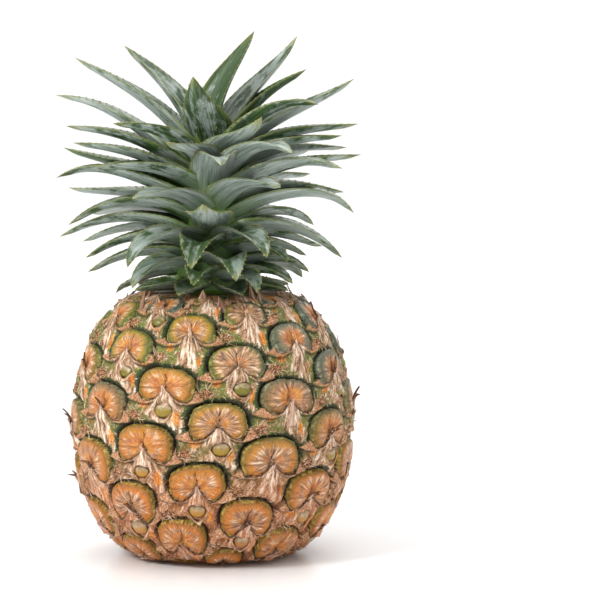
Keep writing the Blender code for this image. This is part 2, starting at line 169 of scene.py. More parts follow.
def noise_at(*axes: np.ndarray) -> np.ndarray:
    """Smooth noise in -1..1 at each place.

    Args:
        axes: Three arrays of coordinates, one lattice unit for each bump.

    Returns:
        The noise values, in the shape of the arrays.
    """
    flat = np.stack([np.broadcast_to(axis, axes[0].shape).ravel() for axis in axes], axis=1)
    values = [noise.noise(Vector(place)) for place in flat]
    return np.array(values).reshape(axes[0].shape)


def set_inputs(tree: bpy.types.NodeTree, node: bpy.types.Node, values: dict) -> None:
    """Set or link a node's sockets and set its properties.

    Args:
        tree: The node's tree.
        node: The node.
        values: Socket names or numbers, or property names, each with a value, a hex colour, an output
            socket, or a node for its first output. "stops" fills a ramp with places and colours or greys.
    """
    for name, value in values.items():
        source = value.outputs[0] if isinstance(value, bpy.types.Node) else value
        if name == "stops":
            ramp = node.color_ramp
            while len(ramp.elements) < len(source):
                ramp.elements.new(0.5)
            for element, (place, colour) in zip(ramp.elements, source):
                element.position = place
                element.color = linear(colour) if isinstance(colour, str) else (colour, colour, colour, 1.0)
        elif isinstance(name, str) and name not in node.inputs:
            setattr(node, name, source)
        elif isinstance(source, bpy.types.NodeSocket):
            tree.links.new(source, node.inputs[name])
        else:
            node.inputs[name].default_value = linear(source) if isinstance(source, str) else source


def add_node(tree: bpy.types.NodeTree, kind: str, *inputs: Source, **named: Source) -> bpy.types.Node:
    """Add a shader node with its settings and links.

    Args:
        tree: Node tree of the material or the world.
        kind: Type of the node, less its "ShaderNode".
        inputs: What the sockets take, in their order, as in set_inputs.
        named: What further sockets and properties take, by name.

    Returns:
        The new node.
    """
    node = tree.nodes.new(f"ShaderNode{kind}")
    set_inputs(tree, node, named)
    set_inputs(tree, node, dict(enumerate(inputs)))
    return node


def new_material(name: str) -> tuple[bpy.types.Material, bpy.types.NodeTree, Callable]:
    """Make a material.

    Args:
        name: Plain name of the finish.

    Returns:
        The material, its node tree and add_node for that tree.
    """
    made = bpy.data.materials.new(name)
    made.use_nodes = True
    return made, made.node_tree, partial(add_node, made.node_tree)


def paint(
    tree: bpy.types.NodeTree, base: Source, coats: list[tuple], rise: str = "SMOOTHSTEP",
) -> bpy.types.NodeSocket:
    """Lay coats of colour over a base.

    Args:
        tree: Node tree of the material.
        base: Node or socket of the first colour.
        coats: Rows of a colour and its masks, whose product says how much it covers. A mask is a number, a
            socket, or a socket with the value where it starts, the value where it is full and, if that is
            less than all, how much it covers there.
        rise: How a mask rises between those two values.

    Returns:
        Socket of the last colour.
    """
    for top, *masks in coats:
        cover = None
        for mask in masks:
            if isinstance(mask, tuple):
                source, start, full, *most = mask
                mask = add_node(tree, "MapRange", source, start, full, 0.0, *most, interpolation_type=rise)
            cover = mask if cover is None else add_node(tree, "Math", cover, mask, operation="MULTIPLY")
        mix = add_node(tree, "Mix", cover, data_type="RGBA")
        set_inputs(tree, mix, {6: base, 7: top})
        base = mix.outputs[2]
    return base


def dress(tree: bpy.types.NodeTree, colour: Source, roughness: Source, *bumps: tuple) -> None:
    """Give a material its colour, its roughness and its fine bumps.

    Args:
        tree: Node tree of the material.
        colour: Socket or node of the colour.
        roughness: Value or node.
        bumps: Rows of a node of the height, its strength and its depth in mm.
    """
    shader = tree.nodes["Principled BSDF"]
    set_inputs(tree, shader, {"Base Color": colour, "Roughness": roughness})
    under = {}
    for height, strength, depth in bumps:
        bump = add_node(tree, "Bump", Height=height, Strength=strength, Distance=depth * MM, **under)
        under = {"Normal": bump}
    set_inputs(tree, shader, under)


def finish_piece(
    name: str, bm: bmesh.types.BMesh, material: bpy.types.Material,
) -> bpy.types.Object:
    """Turn a bmesh into a smooth-shaded piece that rides on the part's one body.

    Args:
        name: Name of the piece.
        bm: Its geometry, in place; it is freed.
        material: Its finish.

    Returns:
        The piece.
    """
    mesh = bpy.data.meshes.new(name)
    bm.to_mesh(mesh)
    bm.free()
    mesh.shade_smooth()
    mesh.materials.append(material)
    piece = bpy.data.objects.new(name, mesh)
    bpy.context.scene.collection.objects.link(piece)
    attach(piece, "root")
    LOG.info("%s: %d triangles", name, sum(len(face.vertices) - 2 for face in mesh.polygons))
    return piece


def repeated(template: bmesh.types.BMesh, count: int) -> bmesh.types.BMesh:
    """Copy a template shape many times into one bmesh, each copy after the last.

    Args:
        template: The shape; it is freed.
        count: Number of copies.

    Returns:
        The bmesh with all the copies.
    """
    mesh = bpy.data.meshes.new("template")
    template.to_mesh(mesh)
    template.free()
    bm = bmesh.new()
    for _ in range(count):
        bm.from_mesh(mesh)
    bpy.data.meshes.remove(mesh)
    return bm


def corners_of(bm: bmesh.types.BMesh) -> np.ndarray:
    """Places of a bmesh's corners, in order."""
    return np.array([vert.co for vert in bm.verts])


def strips(count: int, across: int, along: int) -> tuple[bmesh.types.BMesh, np.ndarray, np.ndarray, int]:
    """Copies of one grid.

    Args:
        count: Number of copies.
        across: Faces across a copy.
        along: Faces along it.

    Returns:
        The bmesh, each corner's place across its copy (-1 to 1) and along it (0 to 1), and the number of
        corners in a copy.
    """
    template = bmesh.new()
    bmesh.ops.create_grid(template, x_segments=across, y_segments=along, size=1.0)
    bm = repeated(template, count)
    places = corners_of(bm)
    return bm, places[:, 0], (places[:, 1] + 1.0) * 0.5, len(places) // count


def move_corners(bm: bmesh.types.BMesh, places: np.ndarray) -> None:
    """Put a bmesh's corners at new places, in order."""
    for vert, place in zip(bm.verts, places.tolist()):
        vert.co = place


def store_marks(bm: bmesh.types.BMesh, marks: dict[str, list]) -> None:
    """Store numbers as attributes of the corners, which the materials read.

    Args:
        bm: The geometry.
        marks: Attribute name, with three columns of numbers for the corners.
    """
    for name, columns in marks.items():
        layer = bm.verts.layers.float_vector.new(name)
        for vert, value in zip(bm.verts, np.stack(np.broadcast_arrays(*columns), axis=1).tolist()):
            vert[layer] = value


def finish_sheets(
    name: str, bm: bmesh.types.BMesh, places: np.ndarray, grain: list, thickness: float, finish: "PaperFinish",
) -> bpy.types.Object:
    """Bend flat copies to their places, thicken them and finish them as one piece of dry paper.

    Args:
        name: Name of the piece.
        bm: The flat copies.
        places: Where their corners go.
        grain: Three columns of the paper's own coordinates.
        thickness: Thickness of the paper.
        finish: Its finish.

    Returns:
        The piece.
    """
    move_corners(bm, places)
    store_marks(bm, {"grain": grain})
    bmesh.ops.recalc_face_normals(bm, faces=bm.faces)
    bmesh.ops.solidify(bm, geom=bm.faces[:], thickness=thickness)
    return finish_piece(name, bm, finish.build())


@dataclass
class Body:
    """Outer shape of the fruit and the spiral that its eyes follow, as in the solids."""

    radius: float = 57.6 * MM
    belt_height: float = 57.3 * MM
    reach_below: float = 59.6 * MM
    reach_above: float = 57.1 * MM
    roundness_below: float = 2.14
    roundness_above: float = 1.85
    roundness_across: float = 3.3
    top: float = 112.0 * MM
    turn_per_eye: float = -0.38271
    first_turn: float = 0.0101
    first_rise: float = 4.94 * MM
    rise_per_eye: float = 1.882 * MM
    rise_lost: float = 0.0028 * MM
    base_fade: float = 12.0 * MM
    top_fade: float = 14.0 * MM
    least_height: float = 0.3 * MM
    inside: float = 0.02 * MM
    sheet: float = 0.45 * MM
    profile_steps: int = 600
    profile: np.ndarray = field(init=False)

    def __post_init__(self) -> None:
        """Work out the profile: distance along it from the belt, radius and height."""
        quarter = np.sin(np.linspace(-0.5 * math.pi, 0.5 * math.pi, 2 * self.profile_steps + 1))
        reach = np.where(quarter > 0.0, self.reach_above, self.reach_below)
        height = self.belt_height + quarter * reach
        share = np.abs(quarter) ** np.where(quarter > 0.0, self.roundness_above, self.roundness_below)
        radius = self.radius * np.maximum(1.0 - share, 0.0) ** (1.0 / self.roundness_across)
        run = np.concatenate([[0.0], np.cumsum(np.hypot(np.diff(radius), np.diff(height)))])
        self.profile = np.stack([run - run[self.profile_steps], radius, height])
        self.base_run = float(np.interp(0.0, height, self.profile[0]))
        self.top_run = float(np.interp(self.top, height, self.profile[0]))

    def run(self, index: np.ndarray) -> np.ndarray:
        """Distance from the belt of a place on the eye spiral."""
        return self.first_rise + self.rise_per_eye * index - self.rise_lost * index * index

    def index_at(self, run: float) -> float:
        """Index on the eye spiral at a distance from the belt."""
        root = self.rise_per_eye ** 2 - 4.0 * self.rise_lost * (run - self.first_rise)
        return (self.rise_per_eye - math.sqrt(root)) / (2.0 * self.rise_lost)

    def fade(self, index: np.ndarray) -> np.ndarray:
        """How strong the relief is: it dies away at the base and under the crown."""
        run = self.run(index)
        above = (run - self.base_run) / self.base_fade
        below = (self.top_run - run) / self.top_fade
        return np.clip(np.minimum(above, below), 0.0, 1.0)

    def place(self, index: np.ndarray, turns: np.ndarray, relief: np.ndarray) -> np.ndarray:
        """Places on the skin.

        Args:
            index: How far along the eye spiral.
            turns: Turn round the axis.
            relief: Height over the plain body.

        Returns:
            One row of three coordinates for each place.
        """
        run = self.run(index)
        radius = np.interp(run, self.profile[0], self.profile[1])
        height = np.interp(run, self.profile[0], self.profile[2])
        lean = np.clip((height - self.belt_height) / self.reach_above, -1.0, 1.0)
        reach = radius + relief * np.sqrt(1.0 - lean * lean)
        angle = FULL_TURN * (self.first_turn + turns)
        place = np.stack([reach * np.sin(angle), -reach * np.cos(angle), height + relief * lean], axis=-1)
        return self.kept_inside(place, self.inside)

    def kept_inside(self, place: np.ndarray, margin: float) -> np.ndarray:
        """Places held inside the solids' box by a margin, seen from above."""
        low, high = np.array(CAD_BOX[0][:2]), np.array(CAD_BOX[1][:2])
        place[..., :2] = np.clip(place[..., :2], low + margin, high - margin)
        return place

    def near_eye(self, eye: np.ndarray, across: np.ndarray, up: np.ndarray, relief: np.ndarray) -> np.ndarray:
        """Places beside an eye's centre, kept over the base's level.

        Args:
            eye: Number of the eye.
            across: How far beside its centre, in metres at the belt.
            up: How far above its centre, along the skin.
            relief: Height over the plain body.

        Returns:
            One row of three coordinates for each place.
        """
        index = eye + up / self.rise_per_eye
        turns = eye * self.turn_per_eye + across / (FULL_TURN * self.radius)
        place = self.place(index, turns, relief * self.fade(index))
        place[..., 2] = np.maximum(place[..., 2], self.least_height)
        return self.kept_inside(place, self.sheet)

    def clear_height(self, radius: float, margin: float) -> float:
        """Height that clears the fruit's upper side and its bract tips.

        Args:
            radius: Distance from the axis.
            margin: How far the bract tips stand out.

        Returns:
            Height over the base.
        """
        share = min(radius / (self.radius + margin), 1.0)
        reach = self.reach_above + margin
        rise = reach * (1.0 - share ** self.roundness_across) ** (1.0 / self.roundness_above)
        return min(self.belt_height + rise, self.top)


@dataclass(frozen=True)
class RindFinish:
    """Ripe pineapple rind: waxy domes, olive at the rim and gold inside, between dry fibrous bracts.

    Each half of a dome has a pinkish bloom with fine dark rays. The wax gives the domes a soft sheen; the
    bracts are matt paper with orange and green parts, and dark green grooves, painted near black as shade, lie
    between them.
    """

    dome_roughness: float = 0.34
    bract_roughness: float = 0.78
    blotch_scale: float = 380.0
    speck_scale: float = 1500.0
    unripe: tuple = (
        (0.0, "#b4b468"), (0.06, "#868c38"), (0.11, "#4e561a"), (0.24, "#7c701a"), (0.44, "#b4861c"),
        (0.9, "#cc9648"),
    )
    ripe: tuple = (
        (0.0, "#c8b056"), (0.06, "#a07a20"), (0.12, "#8f590e"), (0.26, "#bc6e11"), (0.55, "#cd781c"),
        (0.9, "#cc8640"),
    )
    # Grey-blue: random grey eyes, and the painted shade on the side turned from the key light
    grey: tuple = ((0.0, "#9aa596"), (0.08, "#6c786c"), (0.14, "#3c4840"), (0.4, "#606c62"), (0.9, "#9c9684"))
    rays: tuple = (
        (0.34, "#443238"), (0.43, "#7c5a4c"), (0.50, "#a87a54"), (0.57, "#d1a880"), (0.65, "#f8e4ce"),
    )
    fibres: tuple = (
        (0.30, "#2a1c12"), (0.39, "#6c4c34"), (0.46, "#9f7652"), (0.53, "#cda684"), (0.62, "#fbecda"),
    )
    body: tuple = ((0.30, "#2c280e"), (0.44, "#5c4c1c"), (0.55, "#8a622a"), (0.70, "#b88850"))
    # Margin ramps: their green or red-brown goes near black towards the groove, where painted shade deepens it
    margin: tuple = (
        (0.04, "#0c1208"), (0.22, "#1c2a0e"), (0.44, "#3d4f1c"), (0.74, "#707a30"), (1.0, "#94905a"),
    )
    ripe_margin: tuple = ((0.04, "#2c0e08"), (0.22, "#6e2410"), (0.50, "#a04c1a"), (1.0, "#bd8444"))
    orange: tuple = ((0.34, "#b4560a"), (0.50, "#d87c0e"), (0.66, "#eaa42c"))
    lip: tuple = ((0.32, "#7c4a2a"), (0.50, "#bb8258"), (0.68, "#e3bf9c"))
    knot: tuple = ((0.36, "#140a06"), (0.45, "#6a3a1e"), (0.55, "#b67c50"), (0.68, "#e6c09a"))
    # Groove: dark green taken near black as painted shade in the recess
    groove: tuple = ((0.3, "#0b0e08"), (0.7, "#1c240c"))

    def build(self) -> bpy.types.Material:
        """Make the rind's material from the marks stored on the skin."""
        made, tree, node = new_material("ripe_rind")
        fields, inner, bract, extra, tone = (
            node("SeparateXYZ", node("Attribute", attribute_name=name).outputs["Vector"]).outputs
            for name in ("fields", "inner", "bract_marks", "extra", "tone")
        )
        grain = node("Attribute", attribute_name="grain").outputs["Vector"]
        place = node("TexCoord").outputs["Object"]
        fine = node("TexNoise", Vector=grain, Scale=1.0, Detail=5.0, Roughness=0.68)
        blotch = node("TexNoise", Vector=place, Scale=self.blotch_scale, Detail=4.0, Roughness=0.6)
        speck = node("TexNoise", Vector=place, Scale=self.speck_scale, Detail=3.0, Roughness=0.65)
        ragged = node("Math", speck, 0.7, -0.35, operation="MULTIPLY_ADD")
        wander = node("Math", blotch, 0.30, -0.15, operation="MULTIPLY_ADD")
        streaky = node("Math", fine, 1.3, -0.65, operation="MULTIPLY_ADD")

        def broken(value: Source, streaks: float = 0.0, drift: bpy.types.Node = wander) -> bpy.types.Node:
            """A field whose bands are broken up by some of the streaks and by a drift."""
            if streaks:
                drift = node("Math", streaky, streaks, drift, operation="MULTIPLY_ADD")
            return node("Math", value, drift)

        # Dome: rim to middle, with the bands broken up, then the rays and the cracks, with a painted shadow
        # line along the bract's edge
        depth = broken(inner[0], 0.22)
        inside = (inner[0], 0.05, 0.20)
        cracked_and_shadowed = node("Math", ragged, 0.7, extra[2], operation="MULTIPLY_ADD")
        dome_colour = paint(tree, node("ValToRGB", depth, stops=self.unripe), [
            (node("ValToRGB", depth, stops=self.ripe), tone[0]),
            # Grey eyes, and grey-blue painted shade on the side turned from the key light
            (node("ValToRGB", depth, stops=self.grey), tone[2]),
            ("#4c3a2a", (fine, 0.45, 0.36, 0.70), inside),
            (node("ValToRGB", fine, stops=self.rays), (broken(inner[1], 1.5), -0.05, 0.55, 0.88)),
            ("#b05a10", tone[0], 0.10),
            (node("ValToRGB", blotch, stops=self.orange), (broken(inner[2], 4.0, ragged), 3.2, 0.8, 0.66)),
            ("#dcc3a4", (speck, 0.60, 0.70, 0.5), inside),
            ("#33281a", (speck, 0.38, 0.31, 0.6)),
            # Dark cracks, and a painted shadow line where the bract's edge overhangs the dome
            ("#24120a", (cracked_and_shadowed, 0.46, 0.14, 0.96)),
        ])

        # Bract: papery fibres with orange and green parts, and its raised edge with a painted shadow under it,
        # then painted shade in the grooves and round the domes
        near_gap = broken(fields[2], drift=ragged)
        gap = node("Math", near_gap, 0.22, operation="MULTIPLY")
        unpapered = node("Math", 1.0, broken(bract[0], 0.4), operation="SUBTRACT")
        ungreen = node("Math", bract[2], -0.8, 1.0, operation="MULTIPLY_ADD")
        # Margins and grooves, darkened towards the groove with painted shade
        margin_green_and_shade = paint(tree, node("ValToRGB", gap, stops=self.margin), [
            (node("ValToRGB", gap, stops=self.ripe_margin), (tone[1], 0.50, 1.0, 0.9)),
        ])
        groove_green_and_shade = paint(tree, node("ValToRGB", blotch, stops=self.groove), [
            ("#4e170b", (tone[1], 0.50, 0.95, 0.85)),
        ])
        dome_edge = node("Math", ragged, 0.5, fields[0], operation="MULTIPLY_ADD")
        dome_mask = node("MapRange", dome_edge, -0.10, 0.10, interpolation_type="SMOOTHSTEP")
        colour = paint(tree, node("ValToRGB", blotch, stops=self.body), [
            (node("ValToRGB", fine, stops=self.fibres), (broken(bract[0]), 0.12, 0.55, 0.95)),
            ("#c8703c", (tone[1], 0.35, 0.95, 0.50)),
            ("#707a30", (tone[1], 0.62, 0.12, 0.85), (unpapered, 0.44, 0.66)),
            (margin_green_and_shade, (broken(bract[2], 0.3), 0.42, 0.56, 0.92)),
            (node("ValToRGB", fine, stops=self.orange), (broken(bract[1], 1.0), 0.42, 0.62, 0.85)),
            ("#1a120a", (speck, 0.41, 0.33, 0.7)),
            ("#f4e6d4", (speck, 0.58, 0.66, 0.55), ungreen),
            (node("ValToRGB", speck, stops=self.lip), (broken(fields[1], drift=ragged), 1.05, 0.70), extra[1]),
            # Painted shadow: a dark band under the bract's raised edge
            ("#33200f", (fields[1], 0.95, 1.35), (fields[1], 2.3, 1.5, 0.8), extra[1]),
            (dome_colour, dome_mask),
            (node("ValToRGB", speck, stops=self.knot), (broken(extra[0]), 0.30, 0.62, 0.95)),
            # Painted shade: the grooves between the eyes near black
            (groove_green_and_shade, (near_gap, 0.80, 0.2, 0.97)),
            # Painted shade: a dark line just round each dome's edge
            ("#1c130a", (fields[0], -0.70, -0.20, 0.8), (fields[0], 0.14, 0.0)),
        ])
        rough = node("MapRange", dome_mask, 0.0, 1.0, self.bract_roughness, self.dome_roughness)
        dress(tree, colour, rough, (fine, 0.9, 0.9), (speck, 0.7, 0.5))
        return made


@dataclass(frozen=True)
class PaperFinish:
    """Dry bract paper: thin, fibrous and matt, pale where it is bleached and brown where it is frayed."""

    name: str
    stops: tuple[tuple[float, str], ...]
    roughness: float = 0.8

    def build(self) -> bpy.types.Material:
        """Make the paper's material, with its fibres along the piece."""
        made, tree, node = new_material(self.name)
        grain = node("Attribute", attribute_name="grain").outputs["Vector"]
        fine = node("TexNoise", Vector=grain, Scale=1.0, Detail=4.0, Roughness=0.6)
        dress(tree, node("ValToRGB", fine, stops=self.stops), self.roughness, (fine, 0.5, 0.3))
        return made


@dataclass
class Rind:
    """The fruit's skin: one relief of domes, bracts, grooves and knots. Its local sizes are in mm."""

    body: Body
    columns: int = 13 * 40
    rows: int = 180
    half_width: float = 12.8
    half_height: float = 8.8
    dome_rise: float = 1.0
    squareness: float = 2.5
    pit_radius: float = 12.3 * MM
    pit_depth: float = 5.3 * MM
    lowest_eye: int = -42
    highest_eye: int = 40
    broken_at_base: int = 8
    broken_at_top: int = 4
    knot_places: tuple = ((18.0, -1.9), (-13.6, -11.3))
    bud_up: float = -9.2
    share_with_bud: float = 0.62
    # Side turned from the key light, which takes a grey-blue painted shade
    shaded_side: float = math.radians(62.0)

    def eyes(self, fewer: int = 0) -> np.ndarray:
        """Numbers of the eyes that are whole, less some more at both ends of the spiral."""
        first = self.lowest_eye + self.broken_at_base + fewer
        return np.arange(first, self.highest_eye - self.broken_at_top - fewer).astype(float)

    def wing_edge(self, across: np.ndarray, eye: np.ndarray) -> np.ndarray:
        """Upper edge of the bract, mm above the eye's centre: a steep peak with wings that rise again."""
        away = np.abs(across - 0.8 * (chance(eye, Draw.PEAK_SHIFT) - 0.5))
        narrow = 3.4 + 1.6 * chance(eye, Draw.PEAK_WIDTH)
        low = 5.4 + 1.2 * chance(eye, Draw.PEAK_DROP)
        return -low * (1.0 - np.exp(-(away / narrow) ** 1.35)) + 0.016 * np.maximum(away - 6.0, 0.0) ** 2

    def outline(self, across: np.ndarray, up: np.ndarray, eye: np.ndarray) -> np.ndarray:
        """Size of the dome outline through a place: 1 on the dome's own rim."""
        turn = 0.28 * (chance(eye, Draw.DOME_TURN) - 0.5)
        rise = up - self.dome_rise
        half_width = self.half_width * (0.91 + 0.13 * chance(eye, Draw.DOME_WIDTH))
        half_height = self.half_height * (0.89 + 0.15 * chance(eye, Draw.DOME_HEIGHT))
        wide = np.abs((across + rise * turn) / half_width)
        tall = np.abs((rise - across * turn) / half_height)
        return (wide ** self.squareness + tall ** self.squareness) ** (1.0 / self.squareness)

    def bud(self, eye: np.ndarray) -> tuple[np.ndarray, np.ndarray, np.ndarray]:
        """Place and size of the bud under an eye's bract tip; size 0 where there is none."""
        across = 5.0 * (chance(eye, Draw.BUD_ACROSS) - 0.5)
        up = self.bud_up + 1.2 * (chance(eye, Draw.BUD_UP) - 0.5)
        size = (0.75 + 0.45 * chance(eye, Draw.BUD_SIZE)) * (chance(eye, Draw.HAS_BUD) < self.share_with_bud)
        return across, up, size

    def survey(self, index: np.ndarray, turns: np.ndarray) -> dict[str, np.ndarray]:
        """Find the dome and the bract that each place belongs to.

        Args:
            index: How far along the eye spiral, one number for each place.
            turns: Turn round the axis.

        Returns:
            Local places in mm and eye numbers for the dome and for the bract, and the nearest outlines.
        """
        eyes = np.round(index)[:, None] + np.arange(-7, 13)[None, :]
        eyes = np.clip(eyes, self.lowest_eye, self.highest_eye)
        up = (index[:, None] - eyes) * self.body.rise_per_eye / MM
        turn = turns[:, None] - eyes * self.body.turn_per_eye
        across = (turn - np.round(turn)) * FULL_TURN * self.body.radius / MM
        outlines = self.outline(across, up, eyes)
        bract_reach = ((across - 0.8) / 15.0) ** 2 + ((up + 8.6) / 8.2) ** 2
        rows = np.arange(len(index))
        dome = np.argmin(outlines, axis=1)
        bract = np.argmin(bract_reach, axis=1)
        others = np.where(eyes == eyes[rows, bract][:, None], 9.0, outlines)
        return {
            "outline": outlines[rows, dome], "dome_eye": eyes[rows, dome],
            "dome_across": across[rows, dome], "dome_up": up[rows, dome],
            "bract_eye": eyes[rows, bract], "bract_across": across[rows, bract],
            "bract_up": up[rows, bract], "other_outline": others.min(axis=1),
        }

    def dome(self, found: dict[str, np.ndarray]) -> dict[str, np.ndarray]:
        """Height of the domes and what their finish reads.

        Args:
            found: The survey of the places.

        Returns:
            Height, distances to the edge, the orange parts and the cracks with a painted shadow line along the
            bract's edge, depth inside the rim, bloom and grain.
        """
        across, up, eye = found["dome_across"], found["dome_up"], found["dome_eye"]
        angle = np.arctan2(up - self.dome_rise, across)
        ripple = noise_at(angle * 4.0, eye * 3.7, eye * 0.0)
        outline = found["outline"] * (1.0 + 0.03 * ripple) + 0.012 * np.sin(angle * 37.0 + eye)
        over_edge = up - self.wing_edge(across, eye) + 0.45 * noise_at(across * 0.6, eye * 2.3, eye * 0.0)
        edge = np.minimum((1.0 - outline) * 9.0, over_edge)
        middle = np.hypot(across, up)
        inside = np.clip((1.0 - outline) / 0.20, 0.0, 1.0)
        shoulder = np.sqrt(1.0 - (1.0 - inside) ** 2)
        lean = 0.9 * (chance(eye, Draw.CRACK_LEAN) - 0.5)
        crack_line = across - lean * np.maximum(up, 0.0) * 0.35 - 0.35 * np.sin(up * 1.1 + eye * 2.0)
        reach = 5.0 + 2.5 * chance(eye, Draw.CRACK_REACH)
        crack_and_shadow = np.abs(crack_line) + np.maximum(-up - 0.3, 0.0) + 0.7 * np.maximum(up - reach, 0.0)
        past = np.abs(across) - 5.0 - 4.0 * chance(eye, Draw.SIDE_CRACK_REACH)
        # Along the bract's edge the mark is a painted shadow line, where that edge overhangs the dome
        crack_and_shadow = np.minimum(crack_and_shadow, np.abs(over_edge) + 0.6 * np.maximum(past, 0.0))
        lobe_reach = np.hypot(np.abs(across) - 5.2, (up - 0.9) * 1.2)
        patchy = noise_at(across * 0.38, up * 0.38, eye * 1.9)
        depth = (1.0 - outline) * 1.3
        bloom = 2.3 * (depth - 0.32) + 0.55 * patchy + 0.18 * bell(lobe_reach, 3.5)
        bloom -= 0.6 * (chance(eye, Draw.BLOOM) - 0.45)
        radial = np.arctan2(up * 1.1, across)
        rays = noise_at(radial * 7.0, middle * 0.12, eye * 3.1)
        glow = np.minimum(np.hypot(np.abs(across) - 3.0, up - 1.4), 1.2 * np.hypot(across, up - 3.0))
        glow += 3.2 * (chance(eye, Draw.GLOW) - 0.62) + 1.6 * noise_at(across * 0.5, up * 0.5, eye * 5.0)
        height = 2.5 * shoulder - 1.1 * bell(middle, 4.0) + 0.40 * bell(lobe_reach, 4.4) - bell(crack_and_shadow, 0.55)
        height += 0.24 * rays * inside + 0.30 * patchy
        return {
            "height": height, "edge": edge, "depth": depth, "bloom": bloom, "glow": glow, "crack_and_shadow": crack_and_shadow,
            "grain": [radial * 8.0, middle * 0.20, eye * 7.3],
        }

    def bract(self, found: dict[str, np.ndarray]) -> dict[str, np.ndarray]:
        """Height of the bracts and what their finish reads.

        Args:
            found: The survey of the places.

        Returns:
            Height, distance under the edge, knot, shares of the shades, roughness and grain.
        """
        across, up, eye = found["bract_across"], found["bract_up"], found["bract_eye"]
        under = self.wing_edge(across, eye) - up
        fan = across / (1.0 + 0.16 * np.clip(-up, 0.0, 12.0))
        fibre = noise_at(fan * 2.4, up * 0.24, eye * 4.3)
        rough = noise_at(across * 0.9, up * 0.9, eye * 1.7)
        crumple = noise_at(across * 0.35, up * 0.35, eye * 2.1)
        wing = smooth(2.5, 5.5, np.abs(across))
        height = 1.7 + 1.4 * bell(across, 4.6) * bell(up + 3.0, 5.0) - 0.11 * np.clip(-up - 6.0, 0.0, 12.0)
        height += wing * (1.1 * bell(under - 0.4, 0.8) - 0.7 * bell(under - 2.4, 1.2)) + 0.7 * crumple
        height += 0.30 * fibre * smooth(0.0, 2.0, under)
        bud_across, bud_up, size = self.bud(eye)
        bud_reach = np.hypot((across - bud_across) / 4.3, (up - bud_up) / 3.3) / np.maximum(size, 0.01)
        has_bud = size > 0.0
        height += has_bud * (0.9 * bell(bud_reach - 1.25, 0.28) - 1.5 * smooth(1.15, 0.75, bud_reach))
        knot = np.zeros_like(across)
        for knot_across, knot_up in self.knot_places:
            knot = np.maximum(knot, bell(np.hypot((across - knot_across) * 0.7, up - knot_up), 2.0))
        knot = np.clip(knot * 1.5 - 0.1 + 0.3 * rough, 0.0, 1.0)
        height += knot * (0.7 + 1.9 * rough)
        paper_width = 3.6 + 4.2 * chance(eye, Draw.PAPER_WIDTH)
        paper = 0.26 + (0.45 + 0.55 * chance(eye, Draw.PAPER_STRENGTH)) * bell(across, paper_width)
        paper = np.clip(paper + 0.45 * crumple + 0.3 * rough, 0.0, 1.0)
        luck = chance(eye, Draw.ORANGE_RIGHT)
        right = bell(across - 4.6 - 1.5 * luck, 1.5) * bell(up + 12.2, 3.4) * (0.7 + 0.9 * luck)
        left = bell(across + 9.5, 2.8) * bell(up + 7.0, 1.8) * (0.4 + 0.9 * chance(eye, Draw.ORANGE_LEFT))
        side = bell(across - 10.5, 2.8) * bell(up + 5.2, 1.5) * (0.4 + 0.8 * chance(eye, Draw.ORANGE_SIDE))
        orange = np.clip(right + left + side, 0.0, 1.0)
        return {
            "height": height, "under": under, "knot": knot, "paper": paper, "orange": orange, "wing": wing,
            "rough": rough, "crumple": crumple, "grain": [fan * 1.7, up * 0.16, eye * 7.3 + 3.0],
        }

    def relief_and_marks(self, index: np.ndarray, turns: np.ndarray) -> tuple[np.ndarray, dict]:
        """Relief of the skin in mm, and the marks that its finish reads.

        Args:
            index: How far along the eye spiral.
            turns: Turn round the axis.

        Returns:
            The relief and a dictionary of marks.
        """
        found = self.survey(index, turns)
        dome = self.dome(found)
        bract = self.bract(found)
        is_dome = dome["edge"] > 0.0
        off_dome = (~is_dome).astype(float)
        gap = np.maximum(found["other_outline"] - 1.0, 0.0) * 9.0
        groove = bell(gap, 0.85)
        groove_field = np.where(is_dome, 9.0, gap + 2.0 * bract["knot"])
        low = between(bract["height"], -2.2, groove * (1.0 - 0.6 * bract["knot"]))
        relief = np.where(is_dome, dome["height"], low)
        run = self.body.run(index) / MM
        margin = smooth(3.0, 1.1, gap + 1.3 * bract["rough"] + 0.9 * bract["crumple"])
        upness = smooth(-60.0, 40.0, run)
        green = np.clip((0.5 + 0.5 * upness) * margin * (1.0 - 0.8 * bract["knot"]), 0.0, 1.0)
        eye = found["dome_eye"]
        ripeness = 26.0 * (chance(eye, Draw.RIPENESS) - 0.5)
        lower_part = smooth(50.0, -28.0, run + ripeness + found["dome_up"] * 0.8)
        grey_and_shade = smooth(0.62, 0.85, chance(eye, Draw.GREYNESS)) * smooth(-5.0, 35.0, run) * 0.85
        # Random grey eyes high up, and grey-blue painted shade on the upper side turned from the key light
        facing = np.cos(FULL_TURN * (self.body.first_turn + turns) - self.shaded_side)
        grey_and_shade = np.maximum(grey_and_shade, 0.75 * smooth(0.55, 0.95, facing) * smooth(-10.0, 30.0, run))
        marks = {
            "fields": [dome["edge"], bract["under"], groove_field],
            "inner": [dome["depth"], dome["bloom"], dome["glow"]],
            "bract_marks": [bract["paper"], bract["orange"], green],
            "extra": [
                bract["knot"] * off_dome, bract["wing"] * off_dome, np.where(is_dome, dome["crack_and_shadow"], 3.0),
            ],
            "grain": [np.where(is_dome, *pair) for pair in zip(dome["grain"], bract["grain"])],
            "tone": [lower_part, 1.0 - upness, grey_and_shade],
        }
        return relief, marks

